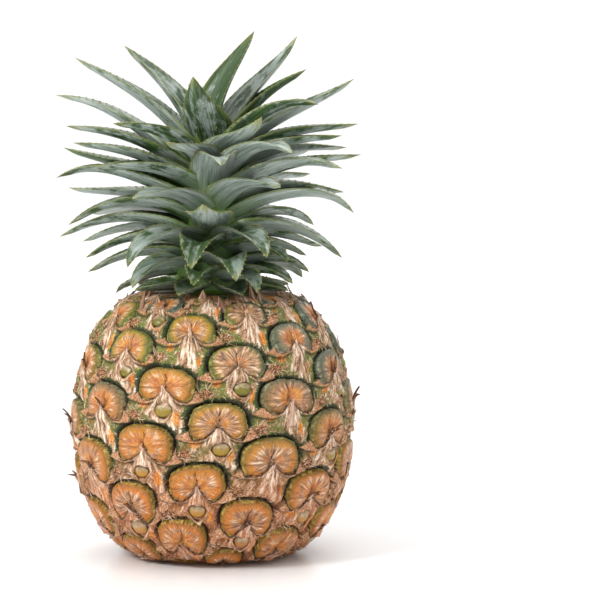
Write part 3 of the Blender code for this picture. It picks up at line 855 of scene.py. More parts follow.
    def build(self, finish: RindFinish) -> bpy.types.Object:
        """Make the skin from a grid closed round the axis, with the base's pit and the level top."""
        bm = bmesh.new()
        bmesh.ops.create_grid(bm, x_segments=self.columns, y_segments=self.rows, size=1.0)
        places = corners_of(bm)
        column = np.round((places[:, 0] + 1.0) * 0.5 * self.columns)
        row = np.round((places[:, 1] + 1.0) * 0.5 * self.rows)
        first = self.body.index_at(self.body.base_run)
        last = self.body.index_at(self.body.top_run)
        skin_rows = self.rows - 4
        index = first + (last - first) * np.clip(row - 3, 0, skin_rows) / skin_rows
        shear = (13.0 * self.body.turn_per_eye + 5.0) / 13.0
        turns = column / self.columns + shear * index
        relief, marks = self.relief_and_marks(index, turns)
        place = self.body.place(index, turns, relief * MM * self.body.fade(index))
        flat = place[:, :2] / np.linalg.norm(place[:, :2], axis=1)[:, None]
        pit = ((0.0, self.pit_depth), (self.pit_radius, self.pit_depth), (self.pit_radius, 0.0))
        for bottom_row, (radius, height) in enumerate(pit):
            chosen = row == bottom_row
            place[chosen, :2] = flat[chosen] * radius
            place[chosen, 2] = height
        place[:, 2] = np.clip(place[:, 2], 0.0, self.body.top)
        place[row == self.rows] = (0.0, 0.0, self.body.top)
        move_corners(bm, place)
        store_marks(bm, marks)
        bmesh.ops.remove_doubles(bm, verts=bm.verts, dist=WELD)
        bmesh.ops.dissolve_degenerate(bm, edges=bm.edges, dist=0.5 * WELD)
        bmesh.ops.recalc_face_normals(bm, faces=bm.faces)
        rind = finish_piece("rind", bm, finish.build())
        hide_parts("fruit")
        return rind


@dataclass
class BractTips:
    """The free papery point of each bract, lying over its eye. Its lengths are in mm."""

    body: Body
    rind: Rind
    length: float = 9.0
    half_width: float = 2.9
    lift: float = 3.7
    thickness: float = 0.35 * MM
    splits: tuple[int, int] = (6, 10)

    def build(self, finish: PaperFinish) -> bpy.types.Object:
        """Make every tip from one grid, curved over its eye."""
        eyes = self.rind.eyes()
        bm, side, along, corners = strips(len(eyes), *self.splits)
        eye = np.repeat(eyes, corners)
        length = self.length * (0.75 + 0.45 * chance(eye, Draw.TIP_LENGTH))
        up = 0.1 + 2.2 * (chance(eye, Draw.TIP_HEIGHT) - 0.35) - (1.0 - along) * length
        width = self.half_width * (1.0 - along) ** 0.75 * (0.6 + 0.4 * (1.0 - along)) + 0.10
        width *= 1.0 + 0.35 * noise_at(along * 6.0, np.sign(side), eye * 1.3)
        bend = 2.2 * (chance(eye, Draw.TIP_BEND) - 0.5) * along ** 2
        across = side * width + bend + 0.8 * (chance(eye, Draw.PEAK_SHIFT) - 0.5)
        lift = between(1.9, self.lift + 1.6 * (chance(eye, Draw.TIP_LIFT) - 0.5), along ** 1.5)
        relief = lift - 1.2 * side ** 2 * (1.0 - along) - 0.5 * np.abs(side) * (1.0 - along)
        relief += 0.25 * noise_at(side * 2.6, along * 2.5, eye * 2.9)
        places = self.body.near_eye(eye, across * MM, up * MM, relief * MM)
        grain = [side * 2.2, along * 0.9, eye * 3.1]
        return finish_sheets("bract_tips", bm, places, grain, self.thickness, finish)


@dataclass
class DriedFlowers:
    """Withered brown flowers that stay on a few eyes, curled off the skin. Lengths in mm."""

    body: Body
    rind: Rind
    share: float = 0.34
    length: float = 6.5
    half_width: float = 1.0
    lift: float = 5.0
    blades: int = 2
    thickness: float = 0.4 * MM
    splits: tuple[int, int] = (4, 9)

    def build(self, finish: PaperFinish) -> bpy.types.Object:
        """Make two curled blades on each chosen eye from one grid."""
        eyes = self.rind.eyes(1)
        eyes = np.repeat(eyes[chance(eyes, Draw.HAS_FLOWER) < self.share], self.blades)
        bm, side, along, corners = strips(len(eyes), *self.splits)
        eye = np.repeat(eyes, corners)
        blade = np.repeat(np.arange(len(eyes)).astype(float), corners)
        turn = 0.5 * math.pi + 2.4 * (chance(blade, Draw.FLOWER_HEADING) - 0.5)
        turn += 1.8 * (chance(blade, Draw.FLOWER_CURL) - 0.5) * along
        length = self.length * (0.6 + 0.6 * chance(blade, Draw.FLOWER_LENGTH))
        reach = length * (0.6 + 0.4 * smooth(-20.0, 40.0, eye)) * (along - 0.35)
        width = self.half_width * (1.0 - along ** 2) * (0.7 + 0.5 * chance(blade, Draw.FLOWER_WIDTH)) + 0.12
        across = np.cos(turn) * reach - np.sin(turn) * side * width
        up = 0.8 + np.sin(turn) * reach + np.cos(turn) * side * width
        relief = 2.5 + self.lift * along ** 2 * (0.3 + 0.5 * chance(blade, Draw.FLOWER_LIFT)) + 0.6 * side ** 2
        places = self.body.near_eye(eye, across * MM, up * MM, relief * MM)
        grain = [side * 1.5, along * 1.2, blade * 3.3]
        return finish_sheets("dried_flowers", bm, places, grain, self.thickness, finish)


@dataclass
class FootScales:
    """Dry pointed scales round the crown's foot, where the top eyes meet its leaves. Lengths in mm."""

    body: Body
    count: int = 38
    lengths: tuple[float, float] = (4.0, 10.0)
    half_widths: tuple[float, float] = (1.4, 3.6)
    lifts: tuple[float, float] = (1.5, 5.5)
    below_top: tuple[float, float] = (2.0, 15.0)
    bends: tuple[float, float] = (-2.5, 2.5)
    ring_radius: float = 0.034
    thickness: float = 0.35 * MM
    splits: tuple[int, int] = (4, 7)
    seed: int = 31

    def build(self, finish: PaperFinish) -> bpy.types.Object:
        """Make every scale from one grid that leans off the skin."""
        luck = random.Random(self.seed)
        ranges = (self.below_top, self.lengths, self.half_widths, self.lifts, self.bends)
        drawn = np.array([
            [(number + luck.uniform(-0.9, 0.9)) / self.count, *(luck.uniform(*ends) for ends in ranges)]
            for number in range(self.count)
        ])
        bm, side, along, corners = strips(self.count, *self.splits)
        turn, below, length, half, lift, bend = np.repeat(drawn, corners, axis=0).T
        width = half * (1.0 - along ** 1.4) * (0.7 + 0.9 * along * (1.0 - along)) + 0.1
        run = self.body.top_run + (length * along - below) * MM
        top = self.body.index_at(self.body.top_run)
        index = top + (run - self.body.top_run) / (self.body.rise_per_eye * 0.9)
        across = side * width + bend * along ** 2
        relief = 0.2 + lift * along ** 1.6 - 0.7 * side ** 2 * (1.0 - along)
        places = self.body.place(index, turn + across * MM / (FULL_TURN * self.ring_radius), relief * MM)
        grain = [side * 2.0, along * 0.9, turn * 90.0]
        return finish_sheets("foot_scales", bm, places, grain, self.thickness, finish)


@dataclass(frozen=True)
class BudFinish:
    """Smooth waxy bud: bleached grey-green above, and below it olive high on the fruit and ochre low down, with
    painted shade round its rim.
    """

    roughness: float = 0.30
    blotch_scale: float = 700.0
    # Painted shade round the bud's rim, where it sinks into its socket
    rim: str = "#2a1c0c"
    waxy: tuple = ((0.10, "#5c5c12"), (0.35, "#847216"), (0.60, "#a8741c"), (0.95, "#a86432"))
    bleached: tuple = ((0.30, "#7c6c4c"), (0.50, "#a08e6c"), (0.70, "#c4ae92"))

    def build(self) -> bpy.types.Material:
        """Make the bud's material from its tone, its upper share and its rim, which takes painted shade."""
        made, tree, node = new_material("waxy_bud")
        marks = node("Attribute", attribute_name="tone").outputs["Vector"]
        tone, upper, rim = node("SeparateXYZ", marks).outputs
        place = node("TexCoord").outputs["Object"]
        blotch = node("TexNoise", Vector=place, Scale=self.blotch_scale, Detail=4.0)
        mixed = node("Math", blotch, 0.5, tone, operation="MULTIPLY_ADD")
        colour = paint(tree, node("ValToRGB", mixed, stops=self.waxy), [
            (node("ValToRGB", blotch, stops=self.bleached), upper), (self.rim, rim),
        ])
        dress(tree, colour, self.roughness, (blotch, 0.4, 0.3))
        return made


@dataclass
class Buds:
    """Small glossy ovals sunk in the bracts, each over a dry V-shaped scale. Their sizes are in mm."""

    body: Body
    rind: Rind
    half_width: float = 4.1
    half_height: float = 3.0
    bulge: float = 1.9
    scale_reach: float = 1.28
    scale_thickness: float = 0.3 * MM
    scale_splits: tuple[int, int] = (14, 3)
    around: int = 16
    rings: int = 10

    def eyes(self) -> np.ndarray:
        """Numbers of the eyes that have a bud."""
        eyes = self.rind.eyes(1)
        return eyes[self.rind.bud(eyes)[2] > 0.0]

    def build(self, finish: BudFinish) -> bpy.types.Object:
        """Make every bud from one flattened sphere."""
        template = bmesh.new()
        bmesh.ops.create_uvsphere(template, u_segments=self.around, v_segments=self.rings, radius=1.0)
        eyes = self.eyes()
        bm = repeated(template, len(eyes))
        right, above, out = corners_of(bm).T
        eye = np.repeat(eyes, len(right) // len(eyes))
        bud_across, bud_up, size = self.rind.bud(eye)
        squared = 1.0 + 0.10 * np.abs(right * above)
        across = bud_across + right * squared * self.half_width * size
        up = bud_up + above * squared * self.half_height * size
        relief = 0.9 + out * self.bulge * size - 0.35 * bell(above - 0.15, 0.22)
        move_corners(bm, self.body.near_eye(eye, across * MM, up * MM, relief * MM))
        low = smooth(50.0, -60.0, self.body.run(eye) / MM + 24.0 * (chance(eye, Draw.BUD_RIPENESS) - 0.5))
        bleached = 0.8 * smooth(-0.1, 0.35, above + 0.2 * noise_at(right * 2.0, eye, eye * 0.0))
        # Third mark: the rim, which takes painted shade
        store_marks(bm, {"tone": [low * 0.7 - 0.1, bleached, smooth(0.75, 1.0, np.hypot(right, above))]})
        bmesh.ops.recalc_face_normals(bm, faces=bm.faces)
        return finish_piece("buds", bm, finish.build())

    def build_scales(self, finish: PaperFinish) -> bpy.types.Object:
        """Make the dry scale under each bud from one grid bent into a V."""
        eyes = self.eyes()
        bm, side, rise, corners = strips(len(eyes), *self.scale_splits)
        eye = np.repeat(eyes, corners)
        bud_across, bud_up, size = self.rind.bud(eye)
        ragged = 0.45 * noise_at(side * 4.0, eye * 1.7, eye * 0.0)
        tilt = 0.9 * (chance(eye, Draw.SCALE_TILT) - 0.5)
        reach = self.scale_reach + (1.0 - rise) * (0.16 + 0.45 * chance(eye, Draw.SCALE_REACH) + ragged)
        across = bud_across + side * self.half_width * size * reach * 0.9
        droop = (1.0 - np.abs(side) ** 1.6) * self.half_height * size * reach * 1.05
        up = bud_up - droop + (0.5 + tilt * np.sign(side)) * np.abs(side)
        relief = 1.7 + 0.9 * rise - 0.9 * np.abs(side) ** 2 + ragged
        places = self.body.near_eye(eye, across * MM, up * MM, relief * MM)
        grain = [side * 1.4, rise * 0.8, eye * 5.3]
        return finish_sheets("bud_scales", bm, places, grain, self.scale_thickness, finish)


@dataclass
class Fibres:
    """Dry fibres: frayed where three eyes meet, along the bract edges and at the bract tips."""

    body: Body
    rind: Rind
    sides: int = 3
    splits: int = 4
    at_knot: int = 10
    at_edge: int = 5
    at_tip: int = 2
    seed: int = 23

    def strands(self) -> list[tuple[float, ...]]:
        """Choose every strand: eye, start, heading, length, lift, thickness, curl and height, in mm."""
        luck = random.Random(self.seed)
        chosen = []
        for eye in self.rind.eyes():
            for knot_across, knot_up in self.rind.knot_places:
                for _ in range(self.at_knot):
                    heading = luck.choice((0.1, 0.3, 2.7, 3.0, 3.4, 5.9)) + luck.uniform(-0.5, 0.5)
                    chosen.append((
                        eye, knot_across + luck.gauss(0.0, 2.0), knot_up + luck.gauss(0.0, 0.8), heading,
                        luck.uniform(2.5, 7.5), luck.uniform(0.4, 1.8), luck.uniform(0.14, 0.36),
                        luck.uniform(-1.4, 1.4), 0.9,
                    ))
            for _ in range(self.at_edge):
                across = luck.choice((-1.0, 1.0)) * luck.uniform(4.0, 13.0)
                up = float(self.rind.wing_edge(np.array([across]), np.array([eye]))[0])
                chosen.append((
                    eye, across, up, (0.25 if across > 0.0 else 2.9) + luck.uniform(-0.4, 0.4),
                    luck.uniform(1.5, 4.5), luck.uniform(0.3, 1.0), luck.uniform(0.14, 0.28),
                    luck.uniform(-0.8, 0.8), 2.4,
                ))
            for _ in range(self.at_tip):
                chosen.append((
                    eye, luck.gauss(0.0, 0.4), luck.uniform(-1.0, 0.6), luck.uniform(1.0, 2.1),
                    luck.uniform(1.2, 2.8), luck.uniform(0.4, 1.4), luck.uniform(0.2, 0.36),
                    luck.uniform(-1.0, 1.0), 3.1,
                ))
        return chosen

    def build(self, finish: PaperFinish) -> bpy.types.Object:
        """Make every strand from one thin cone bent along its own path."""
        template = bmesh.new()
        bmesh.ops.create_grid(template, x_segments=self.sides, y_segments=self.splits, size=1.0)
        places = corners_of(template)
        around = FULL_TURN * (places[:, 0] + 1.0) * 0.5
        along = (places[:, 1] + 1.0) * 0.5
        strands = np.array(self.strands())
        bm = repeated(template, len(strands))
        count = len(places)
        eye, across, up, heading, length, lift, thick, curl, height = np.repeat(strands, count, axis=0).T
        around = np.tile(around, len(strands))
        along = np.tile(along, len(strands))
        turn = heading + curl * along
        thin = 0.5 * thick * np.sqrt(np.maximum(1.0 - along ** 3, 0.0))
        path_across = across + np.cos(turn) * length * along - np.sin(turn) * np.cos(around) * thin
        path_up = up + np.sin(turn) * length * along + np.cos(turn) * np.cos(around) * thin
        relief = height + lift * np.sin(along * math.pi * 0.8) + np.sin(around) * thin
        move_corners(bm, self.body.near_eye(eye, path_across * MM, path_up * MM, relief * MM))
        tone = chance(np.repeat(np.arange(len(strands)), count).astype(float), Draw.FIBRE_TONE)
        store_marks(bm, {"grain": [tone * 9.0, along * 1.5, eye]})
        bmesh.ops.remove_doubles(bm, verts=bm.verts, dist=WELD)
        bmesh.ops.holes_fill(bm, edges=bm.edges, sides=self.sides)
        bmesh.ops.recalc_face_normals(bm, faces=bm.faces)
        return finish_piece("fibres", bm, finish.build())


@dataclass
class Studio:
    """Plain pale floor, soft light and the camera at the photo's viewing angle."""

    target: tuple[float, float, float] = (37.1 * MM, 0.0, 108.2 * MM)
    distance: float = 1.45
    tilt: float = math.radians(6.0)
    lens: float = 205.1
    sensor: float = 36.0
    lamps: tuple = (
        ("key", (-1.0, -1.0, 1.2), 0.45, 21.5), ("fill", (1.2, -0.9, 0.8), 1.0, 2.0),
        ("rim", (0.3, 1.2, 1.2), 0.9, 8.0),
    )
    aim: tuple[float, float, float] = (0.0, 0.0, 0.11)
    floor_reach: float = 40.0
    floor_roughness: float = 0.20
    floor_whites: tuple = ((0.3, "#fafafa"), (0.7, "#fcfcfc"))
    sky: tuple = ((0.0, 1.30), (0.08, 1.15), (0.20, 0.46), (0.45, 0.38), (1.0, 2.10))

    def back(self) -> Vector:
        """Way from the target to the camera."""
        return Vector((0.0, -math.cos(self.tilt), math.sin(self.tilt))) * self.distance

    def on_sight_line(self, across: float, height: float, depth: float) -> Vector:
        """Point at a depth behind the axis, seen where the photo shows it in the axis's plane.

        Args:
            across: Distance beside the axis in its plane, metres.
            height: Height in that plane, metres.
            depth: Depth behind the plane, metres.

        Returns:
            The point.
        """
        eye = Vector(self.target) + self.back()
        in_plane = Vector((across, 0.0, height))
        return eye + (in_plane - eye) * ((depth - eye.y) / (in_plane.y - eye.y))

    def floor(self) -> None:
        """Lay a wide pale floor, a little glossy."""
        bm = bmesh.new()
        bmesh.ops.create_grid(bm, x_segments=1, y_segments=1, size=self.floor_reach)
        mesh = bpy.data.meshes.new("floor")
        bm.to_mesh(mesh)
        bm.free()
        made, tree, node = new_material("pale_floor")
        cloud = node("TexNoise", Vector=node("TexCoord").outputs["Object"], Scale=3.0)
        dress(tree, node("ValToRGB", cloud, stops=self.floor_whites), self.floor_roughness)
        mesh.materials.append(made)
        floor = bpy.data.objects.new("floor", mesh)
        bpy.context.scene.collection.objects.link(floor)

    def light(self, name: str, place: tuple, size: float, power: float) -> None:
        """Hang one soft square light, aimed at the fruit.

        Args:
            name: Name of the light.
            place: Where it hangs, metres.
            size: Side of the square, metres.
            power: Watts.
        """
        data = bpy.data.lights.new(name, "AREA")
        data.size = size
        data.energy = power
        lamp = bpy.data.objects.new(name, data)
        lamp.location = place
        lamp.rotation_euler = (Vector(self.aim) - Vector(place)).to_track_quat("-Z", "Y").to_euler()
        bpy.context.scene.collection.objects.link(lamp)

    def surround(self) -> None:
        """Put a white tent round the scene, brighter overhead."""
        world = bpy.data.worlds.new("soft_white")
        world.use_nodes = True
        tree = world.node_tree
        parts = add_node(tree, "SeparateXYZ", add_node(tree, "TexCoord").outputs["Generated"])
        sky = add_node(tree, "ValToRGB", parts.outputs[2], stops=self.sky)
        set_inputs(tree, tree.nodes["Background"], {"Color": sky})
        bpy.context.scene.world = world

    def build(self) -> None:
        """Set up the floor, the lights, the surroundings and the camera."""
        self.floor()
        for lamp in self.lamps:
            self.light(*lamp)
        self.surround()
        bpy.context.scene.view_settings.view_transform = "Standard"
        data = bpy.data.cameras.new("camera")
        data.lens = self.lens
        data.sensor_width = self.sensor
        camera = bpy.data.objects.new("camera", data)
        camera.location = Vector(self.target) + self.back()
        camera.rotation_euler = (-self.back()).to_track_quat("-Z", "Y").to_euler()
        bpy.context.scene.collection.objects.link(camera)
        bpy.context.scene.camera = camera


@dataclass
class Leaf:
    """One crown leaf: its tip, root height, rise at the root and at the tip, and width."""

    tip: Vector
    root_height: float
    root_rise: float
    tip_rise: float
    width: float

@dataclass
class Section:
    """Section of a leaf: middle, directions, half width, depth of its channel, thickness, and lift it needs."""

    middle: Vector
    aside: Vector
    face: Vector
    half: float
    channel: float
    thick: float
    lift: float


@dataclass(frozen=True)
class LeafFinish:
    """Stiff succulent leaf: dark green under a pale waxy bloom that rubs off in blotches.

    The bloom is silver on the leaf's outer side and thinner on its inner side. Edges are yellow-green, the
    tip dries brown, and the lowest leaves are the darkest and greenest.
    """

    roughness: float = 0.40
    green: tuple = ((0.30, "#16260f"), (0.45, "#28401d"), (0.58, "#3f5a2e"), (0.72, "#60783f"))
    bloom: tuple = ((0.28, "#69776c"), (0.42, "#88968c"), (0.56, "#a2aca6"), (0.72, "#c8cfca"))

    # How the lines, the rubbed blotches and the specks are drawn out along the leaf, and their detail
    patterns: tuple = (((1.6, 0.05, 1.0), 3.0), ((0.26, 0.08, 1.0), 8.0), ((0.9, 0.45, 1.0), 3.0))
    pattern_roughness: float = 0.68

    def build(self) -> bpy.types.Material:
        """Make the leaf's material from the marks stored along it."""
        made, tree, node = new_material("bloomed_leaf")
        (kept, edge, along), (tier, shade, _) = (
            node("SeparateXYZ", node("Attribute", attribute_name=name).outputs["Vector"]).outputs
            for name in ("leaf_marks", "leaf_tone")
        )
        place = node("Attribute", attribute_name="leaf_place").outputs["Vector"]
        lines, rubbed, specks = (
            node("TexNoise", Vector=node("Mapping", place, Scale=scale), Scale=1.0, Detail=detail,
                 Roughness=self.pattern_roughness)
            for scale, detail in self.patterns
        )
        bloomed = node("Math", node("Math", rubbed, kept), shade)
        dried = node("Math", along, node("MapRange", rubbed, 0.0, 1.0, 0.0, 0.36))
        colour = paint(tree, node("ValToRGB", lines, stops=self.green), [
            (node("ValToRGB", lines, stops=self.bloom), (bloomed, 0.46, 0.57, 0.92)),
            ("#2c4426", (lines, 0.42, 0.30, 0.35)),
            ("#334c20", (tier, 0.50, 0.0, 0.50)),
            ("#9c7a3c", (specks, 0.67, 0.74, 0.6)),
            ("#93a050", (edge, 0.86, 0.99, 0.6)),
            ("#6f9a30", (along, 0.34, 0.04, 0.62)),
            ("#7a7c30", (dried, 1.06, 1.20, 0.85)),
        ], "LINEAR")
        dress(tree, colour, self.roughness, (lines, 0.4, 0.3))
        return made


@dataclass
class Crown:
    """The leafy crown: the solids' leaves again, with round channels, thin edges and teeth."""

    body: Body
    thickness: float = 2.2 * MM
    tip_thickness: float = 1.3 * MM
    channel: float = 0.55
    sag: float = 3.5 * MM
    root_outset: float = 2.0 * MM
    root_pull: float = 0.42
    tip_pull: float = 0.36
    root_width: float = 0.62
    widens_by: float = 0.25
    narrowing: float = 2.2
    point: float = 0.85
    clearance: float = 1.2 * MM
    bract_margin: float = 4.2 * MM
    stem_radius: float = 16.5 * MM
    stem_tip_radius: float = 4.0 * MM
    stem_top: float = 170.0 * MM
    stem_gap: float = 0.3 * MM
    stem_sides: int = 48
    stem_cuts: int = 20
    weld: float = 0.004 * MM
    stations: int = 30
    around: int = 16
    tooth_spacing: float = 3.0 * MM
    tooth_length: float = 1.0 * MM
    tooth_half_widths: tuple[float, float] = (0.42 * MM, 0.22 * MM)
    view: Studio = field(default_factory=Studio)
    leaves: list[Leaf] = field(default_factory=list)

    # Leaves that the photo shows. Their tips: mm beside the axis, mm high in the axis's plane, mm behind it.
    # Then mm from the base to the root, degrees of rise at the root and at the tip, and mm of width.
    seen_leaves = (
        (18, 222, 12, 167, 106, 50, 24), (36, 220, 25, 169, 75, 48, 17), (40, 206, 4, 168, 66, 18, 19),
        (60, 202, 10, 166, 50, 26, 19), (45, 191, -20, 166, 60, -25, 18), (21, 186, -34, 163, 78, 40, 21),
        (-8, 203, -25, 167, 88, 70, 24), (-37, 216, 15, 169, 68, 32, 21), (-58, 211, 5, 167, 56, 22, 19),
        (-66, 195, 8, 163, 31, -4, 17), (-62, 182, 0, 161, 38, -5, 16), (-42, 183, -30, 164, 52, -8, 18),
        (-59, 175, -8, 158, 34, -3, 16), (-63, 173, 12, 157, 20, 8, 15), (-19, 175, -45, 159, 72, 5, 20),
        (4, 165, -52, 149, 72, -35, 22), (34, 170, -38, 156, 57, -40, 19), (-50, 165, -18, 155, 42, -12, 19),
        (-66, 160, 0, 151, 22, -38, 16), (-61, 156, 15, 150, 20, -2, 15), (62, 183, 0, 164, 48, -2, 16),
        (55, 178, -10, 162, 46, -5, 15), (57, 173, 12, 161, 42, -12, 15), (63, 170, 0, 156, 30, -3, 16),
        (55, 164, -22, 151, 44, -28, 19), (29, 156, -45, 147, 48, -18, 20), (56, 154, 10, 149, 36, -22, 16),
        (60, 145, -5, 144, 34, -60, 17), (43, 140, 30, 141, 24, -50, 15), (55, 126, -8, 137, 37, -55, 17),
        (47, 131, 8, 136, 28, -30, 16), (-4, 149, -58, 137, 40, 25, 21), (-34, 151, -35, 145, 47, -25, 19),
        (-61, 140, -5, 143, 37, -48, 16), (-65, 135, 5, 136, 33, -38, 16), (-55, 133, 20, 135, 26, -35, 14),
        (-54, 126, 0, 132, 33, -45, 15), (-36, 122, -40, 132, 45, -72, 18), (-53, 120, -5, 127, 27, -42, 15),
        (-41, 109, 5, 121, 25, -65, 15), (-34, 113, -32, 122, 38, -72, 18), (-9, 121, -50, 129, 38, -75, 20),
        (23, 126, -42, 133, 38, -68, 18), (10, 116, -48, 123, 28, -72, 20), (40, 127, 5, 131, 28, -50, 14),
        (32, 124, -25, 129, 28, -65, 15), (41, 120, -5, 124, 24, -60, 15), (34, 115, -20, 121, 22, -60, 15),
        (19, 111, -40, 119, 15, -80, 15), (-8, 114, -42, 120, 15, -70, 16),
    )

    # Which of them the photo shows with most of their bloom rubbed off, and which with all of it
    rubbed: tuple[int, ...] = (0, 2, 4, 6, 11, 13)
    bloomed: tuple[int, ...] = (5, 14, 15, 16, 25, 31, 32)
    bloom_shift: float = 0.11

    # Leaves behind, which the photo hides: in the eyes' spiral, lowest first
    back_count: int = 19
    back_half_sector: float = math.radians(58.0)
    back_roots: tuple[float, float] = (119.0 * MM, 166.0 * MM)
    back_tips: tuple[float, float] = (112.0 * MM, 190.0 * MM)
    back_spreads: tuple[float, float, float] = (44.0 * MM, 62.0 * MM, 20.0 * MM)
    widest_back_share: float = 0.45
    back_root_rises: tuple[float, float] = (18.0, 74.0)
    back_tip_rises: tuple[float, float] = (-66.0, 42.0)
    back_widths: tuple[float, float] = (16.0 * MM, 20.0 * MM)
    tip_scatter: float = 4.0 * MM
    rise_scatter: float = 5.0
    turn_scatter: float = 0.15
    seed: int = 11

    # Short leaves all round the crown's foot, lying close over the fruit
    foot_count: int = 8
    foot_spread: float = 35.0 * MM
    foot_tip: float = 110.0 * MM
    foot_root: float = 117.5 * MM
    foot_root_rise: float = math.radians(6.0)
    foot_tip_rise: float = math.radians(-40.0)
    foot_width: float = 18.0 * MM

    def __post_init__(self) -> None:
        """Lay out the leaves that the photo shows, those behind them and those at the crown's foot."""
        self.leaves = self.leaves_in_sight() + self.leaves_behind() + self.leaves_at_foot()

    @staticmethod
    def around_axis(angle: float, spread: float, height: float) -> Vector:
        """Point at an angle round the axis, a distance from it and a height."""
        return Vector((spread * math.sin(angle), -spread * math.cos(angle), height))

    def leaves_in_sight(self) -> list[Leaf]:
        """Leaves that the photo shows."""
        leaves = []
        for across, height, depth, root_height, root_rise, tip_rise, width in self.seen_leaves:
            leaves.append(Leaf(
                tip=self.view.on_sight_line(across * MM, height * MM, depth * MM),
                root_height=root_height * MM,
                root_rise=math.radians(root_rise),
                tip_rise=math.radians(tip_rise),
                width=width * MM,
            ))
        return leaves

    def leaves_behind(self) -> list[Leaf]:
        """Leaves behind: tips that climb, wide apart in the middle tiers and close at the top."""
        luck = random.Random(self.seed)
        leaves = []
        for number in range(self.back_count):
            share = number / (self.back_count - 1)
            turn = (number * self.body.turn_per_eye) % 1.0
            scatter = luck.uniform(-self.turn_scatter, self.turn_scatter)
            angle = math.pi + self.back_half_sector * (2.0 * turn - 1.0 + scatter)
            if share < self.widest_back_share:
                spread = between(self.back_spreads[0], self.back_spreads[1], share / self.widest_back_share)
            else:
                fall = (share - self.widest_back_share) / (1.0 - self.widest_back_share)
                spread = between(self.back_spreads[1], self.back_spreads[2], fall * fall)
            aside, above = (luck.uniform(-self.tip_scatter, self.tip_scatter) for _ in range(2))
            root_rise, tip_rise = (
                between(*ends, share) + luck.uniform(-self.rise_scatter, self.rise_scatter)
                for ends in (self.back_root_rises, self.back_tip_rises)
            )
            leaves.append(Leaf(
                tip=self.around_axis(angle, spread + aside, between(*self.back_tips, share) + above),
                root_height=between(*self.back_roots, share),
                root_rise=math.radians(root_rise),
                tip_rise=math.radians(tip_rise),
                width=luck.uniform(*self.back_widths),
            ))
        return leaves

    def leaves_at_foot(self) -> list[Leaf]:
        """Short leaves all round the crown's foot."""
        leaves = []
        for number in range(self.foot_count):
            angle = FULL_TURN * (number + 0.5) / self.foot_count
            leaves.append(Leaf(
                tip=self.around_axis(angle, self.foot_spread, self.foot_tip),
                root_height=self.foot_root,
                root_rise=self.foot_root_rise,
                tip_rise=self.foot_tip_rise,
                width=self.foot_width,
            ))
        return leaves

    def short_of_clear(self, point: Vector) -> float:
        """How far a point has to rise to clear the fruit below it."""
        floor = self.body.clear_height(math.hypot(point.x, point.y), self.bract_margin)
        return max(0.0, floor + self.clearance - point.z)

    def path(self, leaf: Leaf) -> list[Vector]:
        """Points along a leaf's middle, from inside the stem to the tip."""
        outward = Vector((leaf.tip.x, leaf.tip.y, 0.0)).normalized()
        sag = Vector((0.0, 0.0, self.sag))
        root = Vector((0.0, 0.0, leaf.root_height)) + outward * self.root_outset - sag
        length = (leaf.tip - root).length
        rise = Vector((0.0, 0.0, 1.0))
        root_heading = outward * math.cos(leaf.root_rise) + rise * math.sin(leaf.root_rise)
        tip_heading = outward * math.cos(leaf.tip_rise) + rise * math.sin(leaf.tip_rise)
        start_pull = root + root_heading * (self.root_pull * length)
        end_pull = leaf.tip - tip_heading * (self.tip_pull * length) - sag
        points = []
        for station in range(self.stations + 1):
            t = station / self.stations
            s = 1.0 - t
            point = root * s ** 3 + start_pull * (3.0 * s * s * t)
            point += end_pull * (3.0 * s * t * t) + leaf.tip * t ** 3
            point.z += self.short_of_clear(point)
            points.append(point)
        return points

    def sections(self, leaf: Leaf) -> list[Section]:
        """Sections of a leaf at its stations, raised where they would touch the fruit."""
        points = self.path(leaf)
        found = []
        for station in range(self.stations + 1):
            t = station / self.stations
            before = points[max(station - 1, 0)]
            after = points[min(station + 1, self.stations)]
            along = (after - before).normalized()
            outward = Vector((points[station].x, points[station].y, 0.0)).normalized()
            aside = Vector((-outward.y, outward.x, 0.0))
            aside = (aside - along * aside.dot(along)).normalized()
            face = along.cross(aside)
            root_share = min(1.0, self.root_width + t / self.widens_by * (1.0 - self.root_width))
            half = 0.5 * leaf.width * root_share * max(0.0, 1.0 - t ** self.narrowing) ** self.point
            channel = half * self.channel * (1.0 - 0.5 * t)
            thick = between(self.thickness, self.tip_thickness, t) * min(1.0, (1.0 - t) * 12.0)
            middle = points[station]
            corners = (
                middle + aside * half + face * channel, middle - aside * half + face * channel,
                middle - face * thick,
            )
            lift = max(self.short_of_clear(corner) for corner in corners) if station < self.stations else 0.0
            found.append(Section(points[station], aside, face, half, channel, thick, lift))
        for station, section in enumerate(found[:-1]):
            near = max(other.lift for other in found[max(0, station - 2):station + 3])
            section.middle = section.middle + Vector((0.0, 0.0, max(near * 0.6, section.lift)))
        return found

